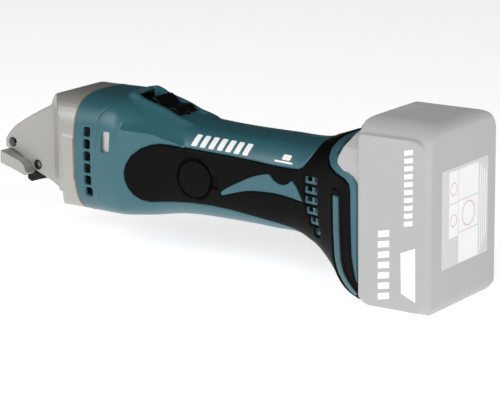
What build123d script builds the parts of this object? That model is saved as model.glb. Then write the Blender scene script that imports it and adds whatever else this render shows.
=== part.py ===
from build123d import *
import os
from math import acos, copysign, cos, pi, radians, sin, tan

# Cordless straight metal shear with a slide-on battery.
# Millimetres. X runs from the blades (negative) to the flat rear face of the battery (X = 0),
# +Z is up, -Y is the left side of the tool. The motor axis is the X axis.

# ---- driving dimensions ----
# Body sections: X, half width, top, bottom, squareness (2 is an ellipse).
BODY_SECTIONS = [
    (-262.0, 35.0, 38.3, -38.6, 3.4),
    (-245.0, 35.3, 38.5, -38.8, 3.4),
    (-228.0, 35.0, 38.3, -38.6, 3.2),
    (-214.0, 32.0, 36.0, -37.2, 2.9),
    (-200.0, 28.8, 31.0, -34.5, 2.8),
    (-186.0, 27.2, 28.0, -32.8, 2.8),
    (-160.0, 26.5, 26.3, -32.3, 2.8),
    (-125.0, 26.5, 26.0, -32.8, 2.8),
    (-100.0, 27.0, 26.2, -34.5, 2.8),
    (-88.0, 28.5, 28.0, -39.5, 3.0),
    (-76.0, 31.5, 31.5, -47.5, 3.4),
    (-64.0, 36.0, 35.0, -56.5, 4.2),
    (-50.0, 38.5, 37.0, -61.0, 5.0),
]
GASKET = 0.8
HEAD_REAR = BODY_SECTIONS[0][0] - GASKET
HEAD_SECTIONS = [
    (HEAD_REAR, 35.0, 38.3, -38.6, 3.4),
    (-270.0, 34.8, 37.4, -38.6, 3.3),
    (-275.5, 33.0, 36.0, -38.6, 3.0),
    (-281.0, 27.0, 34.4, -38.4, 2.8),
    (-287.0, 19.5, 32.0, -38.0, 2.6),
    (-297.0, 10.2, 26.5, -33.0, 2.5),
]
SECTION_STEPS = 10
WALL = 2.6
FAR = 90.0

# Rubber skin of the grip and rear flange.
SKIN_PROUD = 0.8
SKIN_SUNK = 1.0

# Small fixings and fits used in several places.
SCREW_R = 1.5
SCREW_HEAD_R = 2.6
SCREW_HEAD_HEIGHT = 2.4
RUN_FIT = 0.05
CLEAR = 20.0

# Head: side pads, bays and the screws of the bearing plate.
SIDE_PAD_X = (-275.0, HEAD_REAR)
SIDE_PAD_Z = (-18.0, 12.0)
SIDE_PAD_Y = 33.0
SIDE_PAD_HALF = 2.6
PLATE_INSET = 4.0
PINION_BAY_R = 7.0
CRANK_BAY_X = -301.0
CRANK_BAY_R = 7.6
SCREW_TIP_X = -274.0
MOTOR_HOLE_R = 4.0
SMALL_BEARING_WIDTH = 5.0

# Nose, lever and blades.
NOSE_HALF = 10.0
SLOT_HALF = 4.6
LEVER_HALF = 4.0
LEVER_PIVOT = (-316.0, 1.0)
LEVER_PIN_R = 4.0
YOKE_BOLT = (-314.0, -17.0)
BLADE_BOLT = (-334.4, -4.0)
ACCESS_R = 3.0
SHEAR_GAP = 0.05
FOOT_LEFT = -18.0
BLADE_THICK = 4.0
LEVER_PIN_LEFT = -8.5
BOLT_R = 2.5
BOLT_HEAD_R = 4.6
BOLT_SEAT = 7.0
BOLT_HEAD_FACE = 9.4
NUT_FACE = 9.6
SOCKET_R = 2.3
SOCKET_DEPTH = 2.0
GRUB_R = 1.8
GRUB_Y = (-8.6, -2.0)
INSERT_SCREW_R = 1.2
INSERT_SCREW_Z = (-18.9, -17.4, -13.5)
UPPER_HEAD_R = 2.9
UPPER_HEAD_Y = (-3.9, -2.4)

# Gears and crank.
MODULE = 0.8
PINION_TEETH = 9
GEAR_TEETH = 36
PRESSURE = radians(20)
TOOTH_SHIFT = 0.4
BACKLASH = 0.08
CRANK_Z = -MODULE * (PINION_TEETH + GEAR_TEETH) / 2
GEAR_X = (-282.0, -272.0)
CRANK_R = 4.0
CRANK_THROW = 1.5
NEEDLE_R = 5.5
FORK_HALF = 8.6
PLATE_X = (HEAD_REAR - 6.0, HEAD_REAR)

# Motor.
SHAFT_R = 3.0
CAN_X = (-246.0, -213.0)
CAN_R = 28.5
CORE_R = 24.0
MAGNET_R = (24.6, 27.0)
BRUSH_X = -175.0
REAR_BEARING_X = (-164.0, -158.0)
BEARING_R = 6.5
BIG_BEARING_R = 8.0

# Switch knob on top of the neck.
KNOB_FLOOR = 32.0
KNOB_HALF = 9.5
KNOB_TRAVEL = 7.0

# Round service cover over each brush.
COVER = (-174.8, -4.7)
COVER_R = 12.3
COVER_INNER_Y = -15.0

# Rails between the tool and the battery.
RAIL_HALF = 27.0
NECK_HALF = 22.0
RAIL_X = (-64.0, -59.0)
RAIL_Z = (-48.0, 12.0)
RAIL_GAP = 0.5
POCKET_FLOOR = -50.0
REAR_WALL_X = (-68.0, -65.0)
TERMINAL_Y = 12.0
TERMINAL_Z = (-30.0, -15.0)
TERMINAL_BLOCK_HALF = 15.0
TERMINAL_BLOCK_Z = (-33.0, -12.0)

# Battery case.
PACK_X = (-50.0, -24.0, 0.0)
PACK_HALF = 37.5
PACK_Z = (-64.0, 49.0)
CELL_R = 9.1
CELL_LENGTH = 65.0
CELL_X = (-33.5, -14.5)
CELL_PITCH = 18.8
CELL_BOTTOM_Z = -50.0

# Screws of the clamshell, from its right side.
SCREWS = [(-192.0, -26.5), (-152.0, -26.5), (-99.0, 19.5), (-99.0, -27.5), (-74.0, 26.0), (-74.0, -41.0)]
BOSS_R = 3.4
BODY_SCREW_TIP = -14.0
BODY_SCREW_SEAT = 16.0

pieces = {}


# ---- helpers ----
def section_points(half_width, top, bottom, power):
    """Points down the left (-Y) side of a rounded-square section, from its top to its bottom."""
    middle = (top + bottom) / 2
    rise = (top - bottom) / 2
    points = []
    for step in range(SECTION_STEPS + 1):
        angle = pi * (0.5 - step / SECTION_STEPS)
        across = abs(cos(angle)) ** (2 / power)
        up = copysign(abs(sin(angle)) ** (2 / power), angle)
        points.append((-half_width * across, middle + rise * up))
    return points


def half_body(sections, grow):
    """Left half of a body lofted through the sections, grown by a distance all round."""
    with BuildPart() as half:
        for x, half_width, top, bottom, power in sections:
            points = section_points(half_width + grow, top + grow, bottom - grow, power)
            with BuildSketch(Plane.YZ.offset(x)):
                with BuildLine():
                    Spline(*points, tangents=[(-1, 0), (1, 0)])
                    Line(points[-1], points[0])
                make_face()
        loft()
    return half.part


def section_prism(section, grow, x_from, x_to):
    """Straight prism of a whole body section."""
    half_width, top, bottom, power = section[1:]
    points = section_points(half_width + grow, top + grow, bottom - grow, power)
    with BuildPart() as prism:
        with BuildSketch(Plane.YZ.offset(x_from)):
            with BuildLine():
                Spline(*points, tangents=[(-1, 0), (1, 0)])
                Line(points[-1], points[0])
            make_face()
        extrude(amount=x_to - x_from)
        mirror(about=Plane.XZ)
    return prism.part


def rod_x(x_from, x_to, radius, y=0.0, z=0.0):
    """Cylinder along X."""
    with BuildPart() as rod:
        with BuildSketch(Plane.YZ.offset(x_from)):
            with Locations((y, z)):
                Circle(radius)
        extrude(amount=x_to - x_from)
    return rod.part


def rod_y(y_from, y_to, radius, centre):
    """Cylinder along Y at a centre (X, Z)."""
    with BuildPart() as rod:
        with BuildSketch(Plane.XZ.offset(-y_to)):
            with Locations(centre):
                Circle(radius)
        extrude(amount=y_to - y_from)
    return rod.part


def rod_z(z_from, z_to, radius, x, y):
    """Cylinder along Z."""
    with BuildPart() as rod:
        with BuildSketch(Plane.XY.offset(z_from)):
            with Locations((x, y)):
                Circle(radius)
        extrude(amount=z_to - z_from)
    return rod.part


def block(x_from, x_to, y_from, y_to, z_from, z_to):
    """Plain box between two corners."""
    with BuildPart() as box:
        with Locations(((x_from + x_to) / 2, (y_from + y_to) / 2, (z_from + z_to) / 2)):
            Box(x_to - x_from, y_to - y_from, z_to - z_from)
    return box.part


def side_plate(points, y_from, y_to):
    """Plate with a side outline of (X, Z) points."""
    with BuildPart() as plate:
        with BuildSketch(Plane.XZ.offset(-y_to)):
            with BuildLine():
                Polyline(*points, close=True)
            make_face()
        extrude(amount=y_to - y_from)
    return plate.part


def mirrored(piece):
    """The right-hand twin of a left-hand piece."""
    with BuildPart() as twin:
        add(mirror(piece, about=Plane.XZ, mode=Mode.PRIVATE))
    return twin.part


def joined(*solids):
    """One part made of solids that touch, overlap or stand apart."""
    with BuildPart() as whole:
        for solid in solids:
            add(solid)
    return whole.part


def cut(solid, *tools):
    """A solid with tools taken away."""
    with BuildPart() as rest:
        add(solid)
        for tool in tools:
            add(tool, mode=Mode.SUBTRACT)
    return rest.part


# ---- nose outline shared by the gear housing and the yoke ----
NOSE_TOP = [(-285.0, 30.5), (-296.2, 26.3), (-317.3, 16.0), (-331.4, 6.9), (-337.2, 0.9), (-340.1, -3.1)]
NOSE_BOTTOM = [
    (-340.4, -6.7),
    (-334.9, -7.7),
    (-329.7, -10.1),
    (-324.3, -13.3),
    (-319.6, -19.1),
    (-312.3, -21.9),
    (-306.4, -24.8),
    (-300.6, -27.2),
    (-285.0, -36.0),
]
SLOT = [
    (-346.0, -1.6),
    (-338.5, -1.2),
    (-334.0, 1.6),
    (-331.0, 4.2),
    (-318.0, 12.0),
    (-306.0, 12.0),
    (-302.0, 2.0),
    (-291.0, -2.0),
    (-291.0, -33.0),
    (-303.0, -33.0),
    (-306.0, -60.0),
    (-346.0, -60.0),
]
BEARING_WEB_X = (-291.0, -284.0)
FRONT_BEARING_X = (-290.5, -285.5)
GEAR_BAY_R = 16.2
PLATE_SCREWS = [(-22.0, 24.0), (22.0, 24.0), (-24.0, -22.0), (24.0, -22.0)]


def make_gear_housing():
    """Cast head: rounded body, flat nose with a slot for the lever, and the gear bay."""
    left = half_body(HEAD_SECTIONS, 0.0)
    head = joined(left, mirrored(left), side_plate(NOSE_TOP + NOSE_BOTTOM, -NOSE_HALF, NOSE_HALF))
    for side in (-1, 1):
        middle = side * SIDE_PAD_Y
        pad = block(*SIDE_PAD_X, middle - SIDE_PAD_HALF, middle + SIDE_PAD_HALF, *SIDE_PAD_Z)
        head = joined(head, pad)
    plate_bay = section_prism(HEAD_SECTIONS[0], -PLATE_INSET, PLATE_X[0], HEAD_REAR)
    gear_bay = rod_x(BEARING_WEB_X[1], PLATE_X[0], GEAR_BAY_R, z=CRANK_Z)
    pinion_bay = rod_x(BEARING_WEB_X[1], PLATE_X[0], PINION_BAY_R)
    bearing_seat = rod_x(FRONT_BEARING_X[0], BEARING_WEB_X[1], BIG_BEARING_R, z=CRANK_Z)
    crank_bay = rod_x(CRANK_BAY_X, FRONT_BEARING_X[0], CRANK_BAY_R, z=CRANK_Z)
    slot = side_plate(SLOT, -SLOT_HALF, SLOT_HALF)
    pin_hole = rod_y(LEVER_PIN_LEFT, CLEAR, LEVER_PIN_R, LEVER_PIVOT)
    access_hole = rod_y(-CLEAR, GRUB_Y[1], ACCESS_R, BLADE_BOLT)
    bolt_hole = rod_y(-CLEAR, CLEAR, BOLT_R, YOKE_BOLT)
    head_sink = rod_y(-CLEAR, -BOLT_SEAT, BOLT_HEAD_R, YOKE_BOLT)
    nut_sink = rod_y(BOLT_SEAT, CLEAR, BOLT_HEAD_R, YOKE_BOLT)
    screws = [rod_x(SCREW_TIP_X, PLATE_X[0], SCREW_R, y, z) for y, z in PLATE_SCREWS]
    return cut(
        head, plate_bay, gear_bay, pinion_bay, bearing_seat, crank_bay, slot,
        pin_hole, access_hole, bolt_hole, head_sink, nut_sink, *screws,
    )


def make_bearing_plate():
    """Plate behind the gears with the crank's rear bearing and the motor's front bearing."""
    plate = section_prism(HEAD_SECTIONS[0], -PLATE_INSET, *PLATE_X)
    crank_seat = rod_x(PLATE_X[0], PLATE_X[0] + SMALL_BEARING_WIDTH, BEARING_R, z=CRANK_Z)
    motor_seat = rod_x(PLATE_X[1] - SMALL_BEARING_WIDTH, PLATE_X[1], BEARING_R)
    motor_hole = rod_x(*PLATE_X, MOTOR_HOLE_R)
    screws = [rod_x(*PLATE_X, SCREW_R, y, z) for y, z in PLATE_SCREWS]
    return cut(plate, crank_seat, motor_seat, motor_hole, *screws)


def make_plate_screws():
    """Four screws from the motor side through the bearing plate into the head."""
    solids = []
    for y, z in PLATE_SCREWS:
        solids.append(rod_x(SCREW_TIP_X, PLATE_X[1], SCREW_R, y, z))
        solids.append(rod_x(PLATE_X[1], PLATE_X[1] + SCREW_HEAD_HEIGHT, SCREW_HEAD_R, y, z))
    return joined(*solids)


def make_gasket():
    """Thin seal between the head and the body."""
    outer = section_prism(HEAD_SECTIONS[0], 0.2, HEAD_REAR, BODY_SECTIONS[0][0])
    inner = section_prism(HEAD_SECTIONS[0], -WALL, HEAD_REAR, BODY_SECTIONS[0][0])
    return cut(outer, inner)


# ---- yoke and blades ----
FOOT = [
    (-338.5, -8.9), (-338.9, -17.1), (-327.5, -20.1), (-318.3, -23.2),
    (-314.7, -19.8), (-318.8, -17.0), (-322.1, -14.2),
]
HEEL = [
    (-324.4, -26.1), (-324.4, -17.0), (-319.8, -20.1), (-312.3, -22.8),
    (-308.0, -25.0), (-308.0, -25.8), (-313.4, -26.4), (-320.6, -28.6),
]
NECK = [(-323.0, -25.5), (-323.0, -16.5), (-320.0, -13.5), (-308.0, -20.0), (-308.0, -25.0)]
LOWER_BLADE = [(-338.5, -8.9), (-323.5, -13.75), (-323.5, -19.0), (-338.5, -14.5)]
HEEL_HALF = 8.0
LUG_R = 8.0
LUG_HALF = 4.5
CLEARANCE_SCREW = (-321.0, -24.2)
LOWER_BOLT = (-331.0, -2.2)
LOWER_HEAD_R = 1.6
BLADE_SEAT = [(-340.0, -6.0), (-323.5, -11.0), (-323.5, -19.0), (-340.0, -14.05)]
BLADE_SWEEP = [(-345.0, -4.0), (-345.0, -40.0), (-324.0, -40.0), (-324.0, -4.0)]
NOSE_ZONE = [*[(x, z - 0.3) for x, z in NOSE_BOTTOM[2:6]], (-312.3, 0.0), (-329.7, 0.0)]
NOSE_ZONE_Y = (-10.4, 5.0)
BOLT_ROOM_R = 4.8
BOLT_ROOM_Y = 6.9


def make_yoke():
    """Fixed lower jaw: a lug in the nose slot, a heel and a foot that lies under the sheet."""
    foot = cut(side_plate(FOOT, FOOT_LEFT, -SHEAR_GAP), side_plate(NOSE_ZONE, *NOSE_ZONE_Y))
    heel = side_plate(HEEL, -HEEL_HALF, HEEL_HALF)
    neck = side_plate(NECK, -LUG_HALF, LUG_HALF)
    lug = rod_y(-LUG_HALF, LUG_HALF, LUG_R, YOKE_BOLT)
    blade_seat = side_plate(BLADE_SEAT, -BLADE_THICK, 0.0)
    blade_sweep = side_plate(BLADE_SWEEP, -SHEAR_GAP, NOSE_ZONE_Y[1])
    bolt_hole = rod_y(-CLEAR, CLEAR, BOLT_R, YOKE_BOLT)
    left_room = rod_y(-CLEAR, -BOLT_ROOM_Y, BOLT_ROOM_R, YOKE_BOLT)
    right_room = rod_y(BOLT_ROOM_Y, CLEAR, BOLT_ROOM_R, YOKE_BOLT)
    screw_hole = rod_y(-CLEAR, GRUB_Y[1], GRUB_R, CLEARANCE_SCREW)
    lower_hole = rod_z(-FAR, INSERT_SCREW_Z[2], INSERT_SCREW_R, *LOWER_BOLT)
    lower_sink = rod_z(-FAR, INSERT_SCREW_Z[1], LOWER_HEAD_R, *LOWER_BOLT)
    return cut(
        joined(foot, heel, neck, lug), blade_seat, blade_sweep, bolt_hole, left_room, right_room,
        screw_hole, lower_hole, lower_sink,
    )


def make_lower_blade():
    """Replaceable cutting insert in the foot."""
    blade = side_plate(LOWER_BLADE, -BLADE_THICK, -SHEAR_GAP)
    return cut(blade, rod_z(-FAR, INSERT_SCREW_Z[2], INSERT_SCREW_R, *LOWER_BOLT))


def make_lower_blade_bolt():
    """Screw that holds the lower insert from below."""
    shank = rod_z(*INSERT_SCREW_Z[1:], INSERT_SCREW_R, *LOWER_BOLT)
    head = rod_z(*INSERT_SCREW_Z[:2], LOWER_HEAD_R, *LOWER_BOLT)
    return joined(shank, head)


def make_yoke_bolt():
    """Hexagon-socket bolt through the nose and the yoke's lug, with its nut."""
    shank = rod_y(-BOLT_SEAT, NOSE_HALF, BOLT_R, YOKE_BOLT)
    head = rod_y(-BOLT_HEAD_FACE, -BOLT_SEAT, BOLT_HEAD_R, YOKE_BOLT)
    nut = rod_y(BOLT_SEAT, NUT_FACE, BOLT_HEAD_R, YOKE_BOLT)
    with BuildPart() as socket:
        with BuildSketch(Plane.XZ.offset(BOLT_HEAD_FACE)):
            with Locations(YOKE_BOLT):
                RegularPolygon(SOCKET_R, 6)
        extrude(amount=-SOCKET_DEPTH)
    return cut(joined(shank, head, nut), socket.part)


def make_clearance_screw():
    """Grub screw that sets the gap between the blades."""
    screw = rod_y(*GRUB_Y, GRUB_R, CLEARANCE_SCREW)
    return cut(screw, rod_y(GRUB_Y[0], GRUB_Y[0] + 1.2, 0.8, CLEARANCE_SCREW))


LEVER = [
    (-339.0, -3.8), (-334.0, -0.9), (-329.0, 1.5), (-321.0, 5.5), (-311.0, 5.5), (-303.0, -3.2),
    (-293.6, CRANK_Z + FORK_HALF + 3.0), (-293.6, CRANK_Z + FORK_HALF),
    (-301.3, CRANK_Z + FORK_HALF), (-301.3, CRANK_Z - FORK_HALF),
    (-293.6, CRANK_Z - FORK_HALF), (-293.6, CRANK_Z - FORK_HALF - 3.0),
    (-303.9, CRANK_Z - FORK_HALF - 3.0), (-303.9, -12.0), (-309.0, -6.6),
    (-324.0, -6.4), (-328.0, -7.4), (-339.0, -6.6),
]
LEVER_SEAT = [(-345.0, 8.0), (-345.0, -20.0), (-325.5, -20.0), (-325.5, 8.0)]
PIVOT_BOSS_R = 7.0
UPPER_BLADE = [(-340.0, -4.1), (-340.0, -8.6), (-325.5, -13.8), (-325.5, -4.6), (-334.0, -1.4)]


def make_blade_lever():
    """Rocking lever: a fork round the crank at the back, the upper blade's seat at the front."""
    arm = side_plate(LEVER, -LEVER_HALF, LEVER_HALF)
    boss = rod_y(-LEVER_HALF, LEVER_HALF, PIVOT_BOSS_R, LEVER_PIVOT)
    seat = side_plate(LEVER_SEAT, SHEAR_GAP, CLEAR)
    bore = rod_y(-CLEAR, CLEAR, LEVER_PIN_R + RUN_FIT, LEVER_PIVOT)
    bolt = rod_y(-CLEAR, CLEAR, SCREW_R, BLADE_BOLT)
    sink = rod_y(-CLEAR, UPPER_HEAD_Y[1], UPPER_HEAD_R, BLADE_BOLT)
    return cut(joined(arm, boss), seat, bore, bolt, sink)


def make_upper_blade():
    """Moving cutting insert on the lever."""
    blade = side_plate(UPPER_BLADE, SHEAR_GAP, BLADE_THICK)
    return cut(blade, rod_y(-CLEAR, CLEAR, SCREW_R, BLADE_BOLT))


def make_upper_blade_bolt():
    """Socket screw that holds the upper insert."""
    shank = rod_y(UPPER_HEAD_Y[1], BLADE_THICK, SCREW_R, BLADE_BOLT)
    head = rod_y(*UPPER_HEAD_Y, UPPER_HEAD_R, BLADE_BOLT)
    return cut(joined(shank, head), rod_y(UPPER_HEAD_Y[0], UPPER_HEAD_Y[0] + 1.0, 1.2, BLADE_BOLT))


def make_lever_pin():
    """Pivot pin of the lever, fitted from the right."""
    return rod_y(LEVER_PIN_LEFT, NOSE_HALF - 0.2, LEVER_PIN_R, LEVER_PIVOT)


# ---- gears and crank ----
def involute(angle):
    """Involute function of a pressure angle."""
    return tan(angle) - angle


def gear_outline(teeth, shift, root_r, tip_r, first):
    """Corner lists of the teeth, each a list of (radius, angle) for its right flank."""
    pitch_r = MODULE * teeth / 2
    base_r = pitch_r * cos(PRESSURE)
    thickness = MODULE * (pi / 2 + 2 * shift * tan(PRESSURE)) - BACKLASH
    half_pitch_angle = thickness / (2 * pitch_r)
    start_r = max(base_r, root_r) + 0.01
    flank = []
    for step in range(4):
        r = start_r + (tip_r - start_r) * step / 3
        flank.append((r, half_pitch_angle + involute(PRESSURE) - involute(acos(base_r / r))))
    centres = [first + 2 * pi * n / teeth for n in range(teeth)]
    return flank, centres


def polar(r, angle, z):
    """Point in the YZ plane; the angle is measured from +Z towards +Y."""
    return (r * sin(angle), z + r * cos(angle))


def toothed_wheel(teeth, shift, root_r, tip_r, first, z, bore_r):
    """Spur gear with involute flanks along X."""
    flank, centres = gear_outline(teeth, shift, root_r, tip_r, first)
    step_angle = 2 * pi / teeth
    with BuildPart() as wheel:
        with BuildSketch(Plane.YZ.offset(GEAR_X[0])):
            with BuildLine():
                for centre in centres:
                    left = [polar(r, centre - a, z) for r, a in flank]
                    right = [polar(r, centre + a, z) for r, a in reversed(flank)]
                    foot_left = polar(root_r, centre - flank[0][1], z)
                    foot_right = polar(root_r, centre + flank[0][1], z)
                    next_foot = polar(root_r, centre + step_angle - flank[0][1], z)
                    Line(foot_left, left[0])
                    Spline(*left)
                    Line(left[-1], right[0])
                    Spline(*right)
                    Line(right[-1], foot_right)
                    Line(foot_right, next_foot)
            make_face()
            with Locations((0, z)):
                Circle(bore_r, mode=Mode.SUBTRACT)
        extrude(amount=GEAR_X[1] - GEAR_X[0])
    return wheel.part


PINION_BORE = 1.7
PINION_RADII = (2.8, 4.5)
GEAR_RADII = (13.2, 14.86)
ECCENTRIC_X = (-299.0, -292.5)
NEEDLE_X = (-299.0, -292.7)
COLLAR_R = 5.2


def make_pinion():
    """Steel pinion on the end of the motor shaft."""
    first = pi + pi / PINION_TEETH
    return toothed_wheel(PINION_TEETH, TOOTH_SHIFT, *PINION_RADII, first, 0.0, PINION_BORE)


def make_crank_gear():
    """Large gear on the crankshaft."""
    return toothed_wheel(GEAR_TEETH, -TOOTH_SHIFT, *GEAR_RADII, 0.0, CRANK_Z, CRANK_R)


def make_crankshaft():
    """Crankshaft with an eccentric at the front, level with its axis at rest."""
    eccentric = rod_x(*ECCENTRIC_X, CRANK_R, y=CRANK_THROW, z=CRANK_Z)
    collar = rod_x(ECCENTRIC_X[1], FRONT_BEARING_X[0], COLLAR_R, z=CRANK_Z)
    front = rod_x(FRONT_BEARING_X[0], GEAR_X[1], CRANK_R, z=CRANK_Z)
    rear = rod_x(GEAR_X[1], PLATE_X[0] + SMALL_BEARING_WIDTH - 0.1, SHAFT_R, z=CRANK_Z)
    return joined(eccentric, collar, front, rear)


GROOVE_DEPTH = 0.4
GROOVE_HALF = 0.8


def bearing(x_from, x_to, outer_r, bore_r, z=0.0):
    """Ball bearing as one ring with grooved faces."""
    ring = cut(rod_x(x_from, x_to, outer_r, z=z), rod_x(x_from, x_to, bore_r, z=z))
    middle = (outer_r + bore_r) / 2
    floor = x_from + GROOVE_DEPTH
    groove = rod_x(x_from, floor, middle + GROOVE_HALF, z=z)
    return cut(ring, cut(groove, rod_x(x_from, floor, middle - GROOVE_HALF, z=z)))


def make_needle_bearing():
    """Needle bearing on the eccentric."""
    outer = rod_x(*NEEDLE_X, NEEDLE_R, y=CRANK_THROW, z=CRANK_Z)
    return cut(outer, rod_x(*NEEDLE_X, CRANK_R, y=CRANK_THROW, z=CRANK_Z))


# ---- motor ----
CORE_X = (-243.0, -216.0)
MAGNET_GAP_HALF = 6.0
CORE_SLOTS = 12
HEAD_RADII = (19.0, 16.5)
WINDING_X = (-247.5, -210.0)
COMMUTATOR_X = (-188.0, -167.0)
COMMUTATOR_R = 8.0
COMMUTATOR_BARS = 12
FAN_X = (-258.0, -249.5)
FAN_DISC_X = -256.6
FAN_R = 26.0
FAN_BLADES = 11
CAP_X = (-202.0, -200.0)
CAP_RADII = (19.5, 17.5, 9.5)
BRUSH_Y = (-15.5, -7.0)
BRUSH_HALF = (3.1, 4.1)
HOLDER_Y = (-21.5, -9.0)
HOLDER_HALF = (4.5, 5.5)
HOLDER_BORE = (3.2, 4.2)


def make_motor_shaft():
    """Stepped armature shaft."""
    tip = rod_x(GEAR_X[0] - 0.5, GEAR_X[1] + 0.5, PINION_BORE)
    return joined(tip, rod_x(GEAR_X[1] + 0.5, REAR_BEARING_X[1], SHAFT_R))


def make_motor_can():
    """Steel tube round the magnets."""
    return cut(rod_x(*CAN_X, CAN_R), rod_x(*CAN_X, MAGNET_R[1]))


def make_motor_magnets():
    """Two curved magnets inside the can."""
    ring = cut(rod_x(*CORE_X, MAGNET_R[1]), rod_x(*CORE_X, MAGNET_R[0]))
    gap = block(*CORE_X, -FAR, FAR, -MAGNET_GAP_HALF, MAGNET_GAP_HALF)
    return cut(ring, gap)


def make_armature_core():
    """Laminated core with slots."""
    core = cut(rod_x(*CORE_X, CORE_R), rod_x(*CORE_X, SHAFT_R))
    with BuildPart() as slots:
        with BuildSketch(Plane.YZ.offset(CORE_X[0])):
            with PolarLocations(CORE_R - 3.0, CORE_SLOTS):
                Rectangle(8.0, 2.4)
        extrude(amount=CORE_X[1] - CORE_X[0])
    return cut(core, slots.part)


def make_windings():
    """Copper winding heads at both ends of the core."""
    front = rod_x(WINDING_X[0], CORE_X[0], HEAD_RADII[0])
    rear = rod_x(CORE_X[1], WINDING_X[1], HEAD_RADII[1])
    return cut(joined(front, rear), rod_x(*WINDING_X, SHAFT_R))


def make_commutator():
    """Copper commutator with twelve bars."""
    drum = cut(rod_x(*COMMUTATOR_X, COMMUTATOR_R), rod_x(*COMMUTATOR_X, SHAFT_R))
    with BuildPart() as gaps:
        with BuildSketch(Plane.YZ.offset(COMMUTATOR_X[0])):
            with PolarLocations(COMMUTATOR_R, COMMUTATOR_BARS):
                Rectangle(1.6, 0.5)
        extrude(amount=COMMUTATOR_X[1] - COMMUTATOR_X[0])
    return cut(drum, gaps.part)


def make_fan():
    """Cooling fan with radial blades."""
    hub = rod_x(*FAN_X, 2 * SHAFT_R)
    disc = rod_x(FAN_X[0], FAN_DISC_X, FAN_R)
    with BuildPart() as blades:
        with BuildSketch(Plane.YZ.offset(FAN_DISC_X)):
            with PolarLocations(FAN_R - 10.5, FAN_BLADES):
                Rectangle(21.0, 1.6)
        extrude(amount=6.4)
    return cut(joined(hub, disc, blades.part), rod_x(*FAN_X, SHAFT_R))


def make_motor_end_cap():
    """Moulded cap at the brush end of the motor."""
    outer_r, inner_r, hole_r = CAP_RADII
    cup = cut(rod_x(CAN_X[1], CAP_X[1], outer_r), rod_x(CAN_X[1], CAP_X[0], inner_r))
    return cut(cup, rod_x(*CAP_X, hole_r))


def both_sides(make_left):
    """A left-hand piece together with its right-hand twin, as separate solids."""
    left = make_left()
    return joined(left, mirrored(left))


def brush_block(half, y_from, y_to):
    """Block centred on the left brush; half holds its X and Z half sizes."""
    return block(BRUSH_X - half[0], BRUSH_X + half[0], y_from, y_to, -half[1], half[1])


def left_brush_holder():
    """Square tube, closed at its outer end."""
    tube = brush_block(HOLDER_HALF, *HOLDER_Y)
    return cut(tube, brush_block(HOLDER_BORE, HOLDER_Y[0] + 1.5, HOLDER_Y[1]))


def left_brush():
    """Carbon block whose tip follows the commutator."""
    drum = rod_x(BRUSH_X - CLEAR, BRUSH_X + CLEAR, COMMUTATOR_R + RUN_FIT)
    return cut(brush_block(BRUSH_HALF, *BRUSH_Y), drum)


def left_brush_spring():
    """Coil spring between the brush and the end of its holder."""
    with BuildPart() as coil:
        with BuildLine() as path:
            Helix(1.1, 3.6, 2.2, center=(BRUSH_X, BRUSH_Y[0] - 0.4, 0), direction=(0, -1, 0))
        with BuildSketch(Plane(origin=path.line @ 0, z_dir=path.line % 0)):
            Circle(0.3)
        sweep()
    return coil.part


# ---- clamshell body ----
REAR_EDGE = [
    (-84.0, 60.0), (-75.0, 34.5), (-67.3, 22.3), (-57.0, 8.2), (-55.0, 0.0), (-51.8, -47.5), (-51.3, -FAR),
]
RIM = 3.5
VENT_ROWS = 6
RIBS = [(-233.0, -229.0, CAN_R), (-211.0, -207.0, 19.5), (*REAR_BEARING_X, BIG_BEARING_R)]
PAD_SIDE = [
    (-237.0, 31.0), (-236.0, 40.0), (-232.0, 42.0), (-216.0, 40.0), (-200.0, 35.0), (-187.0, 32.0),
    (-184.0, 29.0), (-184.0, 25.6), (-211.5, 26.0), (-213.5, 31.0),
]
PAD_HALF = 15.0
POCKET_X = (-230.0, -187.0)
STEM_X = (-204.0, -198.0)
LINK_CHANNEL = (-214.0, -150.0, -4.0, 4.0, 16.5, 23.2)
FRONT_VENTS = [(-252.0 + 0.65 * row, 19.4 - 8.8 * row) for row in range(VENT_ROWS)]
REAR_VENTS = [(-88.5, 5.9 - 6.3 * row) for row in range(VENT_ROWS)]
WINDOW = (-237.0, 12.3)


GRIP_TOP_FRONT = (-202.0, 13.9)
GRIP_TIP = (-232.0, -8.0)
GRIP_BOTTOM_FRONT = (-214.0, -25.3)
GRIP_HEEL = (-92.0, -28.1)


def grip_zone():
    """Side outline of the rubber: a band along the grip, then the whole flange up to the rim."""
    flange = [(x - RIM, z) for x, z in REAR_EDGE]
    with BuildPart() as zone:
        with BuildSketch(Plane.XZ):
            with BuildLine():
                Polyline(GRIP_TOP_FRONT, (-96.0, 11.6), (-94.5, 60.0), *flange, (-92.0, -FAR), GRIP_HEEL)
                Polyline(GRIP_HEEL, (-172.0, -20.7), GRIP_BOTTOM_FRONT)
                ThreePointArc(GRIP_BOTTOM_FRONT, GRIP_TIP, GRIP_TOP_FRONT)
            make_face()
        extrude(amount=FAR)
    return zone.part


def make_grip_skin():
    """Left rubber skin, sunk into the body and standing slightly proud of it."""
    with BuildPart() as skin:
        add(half_body(BODY_SECTIONS, SKIN_PROUD))
        add(grip_zone(), mode=Mode.INTERSECT)
        add(half_body(BODY_SECTIONS, -SKIN_SUNK), mode=Mode.SUBTRACT)
    return skin.part


def make_cavity():
    """Inside of the left half, with the ribs and screw bosses left out of it."""
    bays = cut(half_body(BODY_SECTIONS, -WALL), block(REAR_WALL_X[0], 0.0, -FAR, FAR, -FAR, FAR))
    ribs = [block(x_from, x_to, -FAR, FAR, -FAR, FAR) for x_from, x_to, _ in RIBS]
    bosses = [rod_y(-FAR, FAR, BOSS_R, centre) for centre in SCREWS]
    bays = cut(bays, *ribs, *bosses)
    bores = [rod_x(x_from, x_to, bore_r) for x_from, x_to, bore_r in RIBS]
    return joined(bays, *bores, block(*LINK_CHANNEL))


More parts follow.
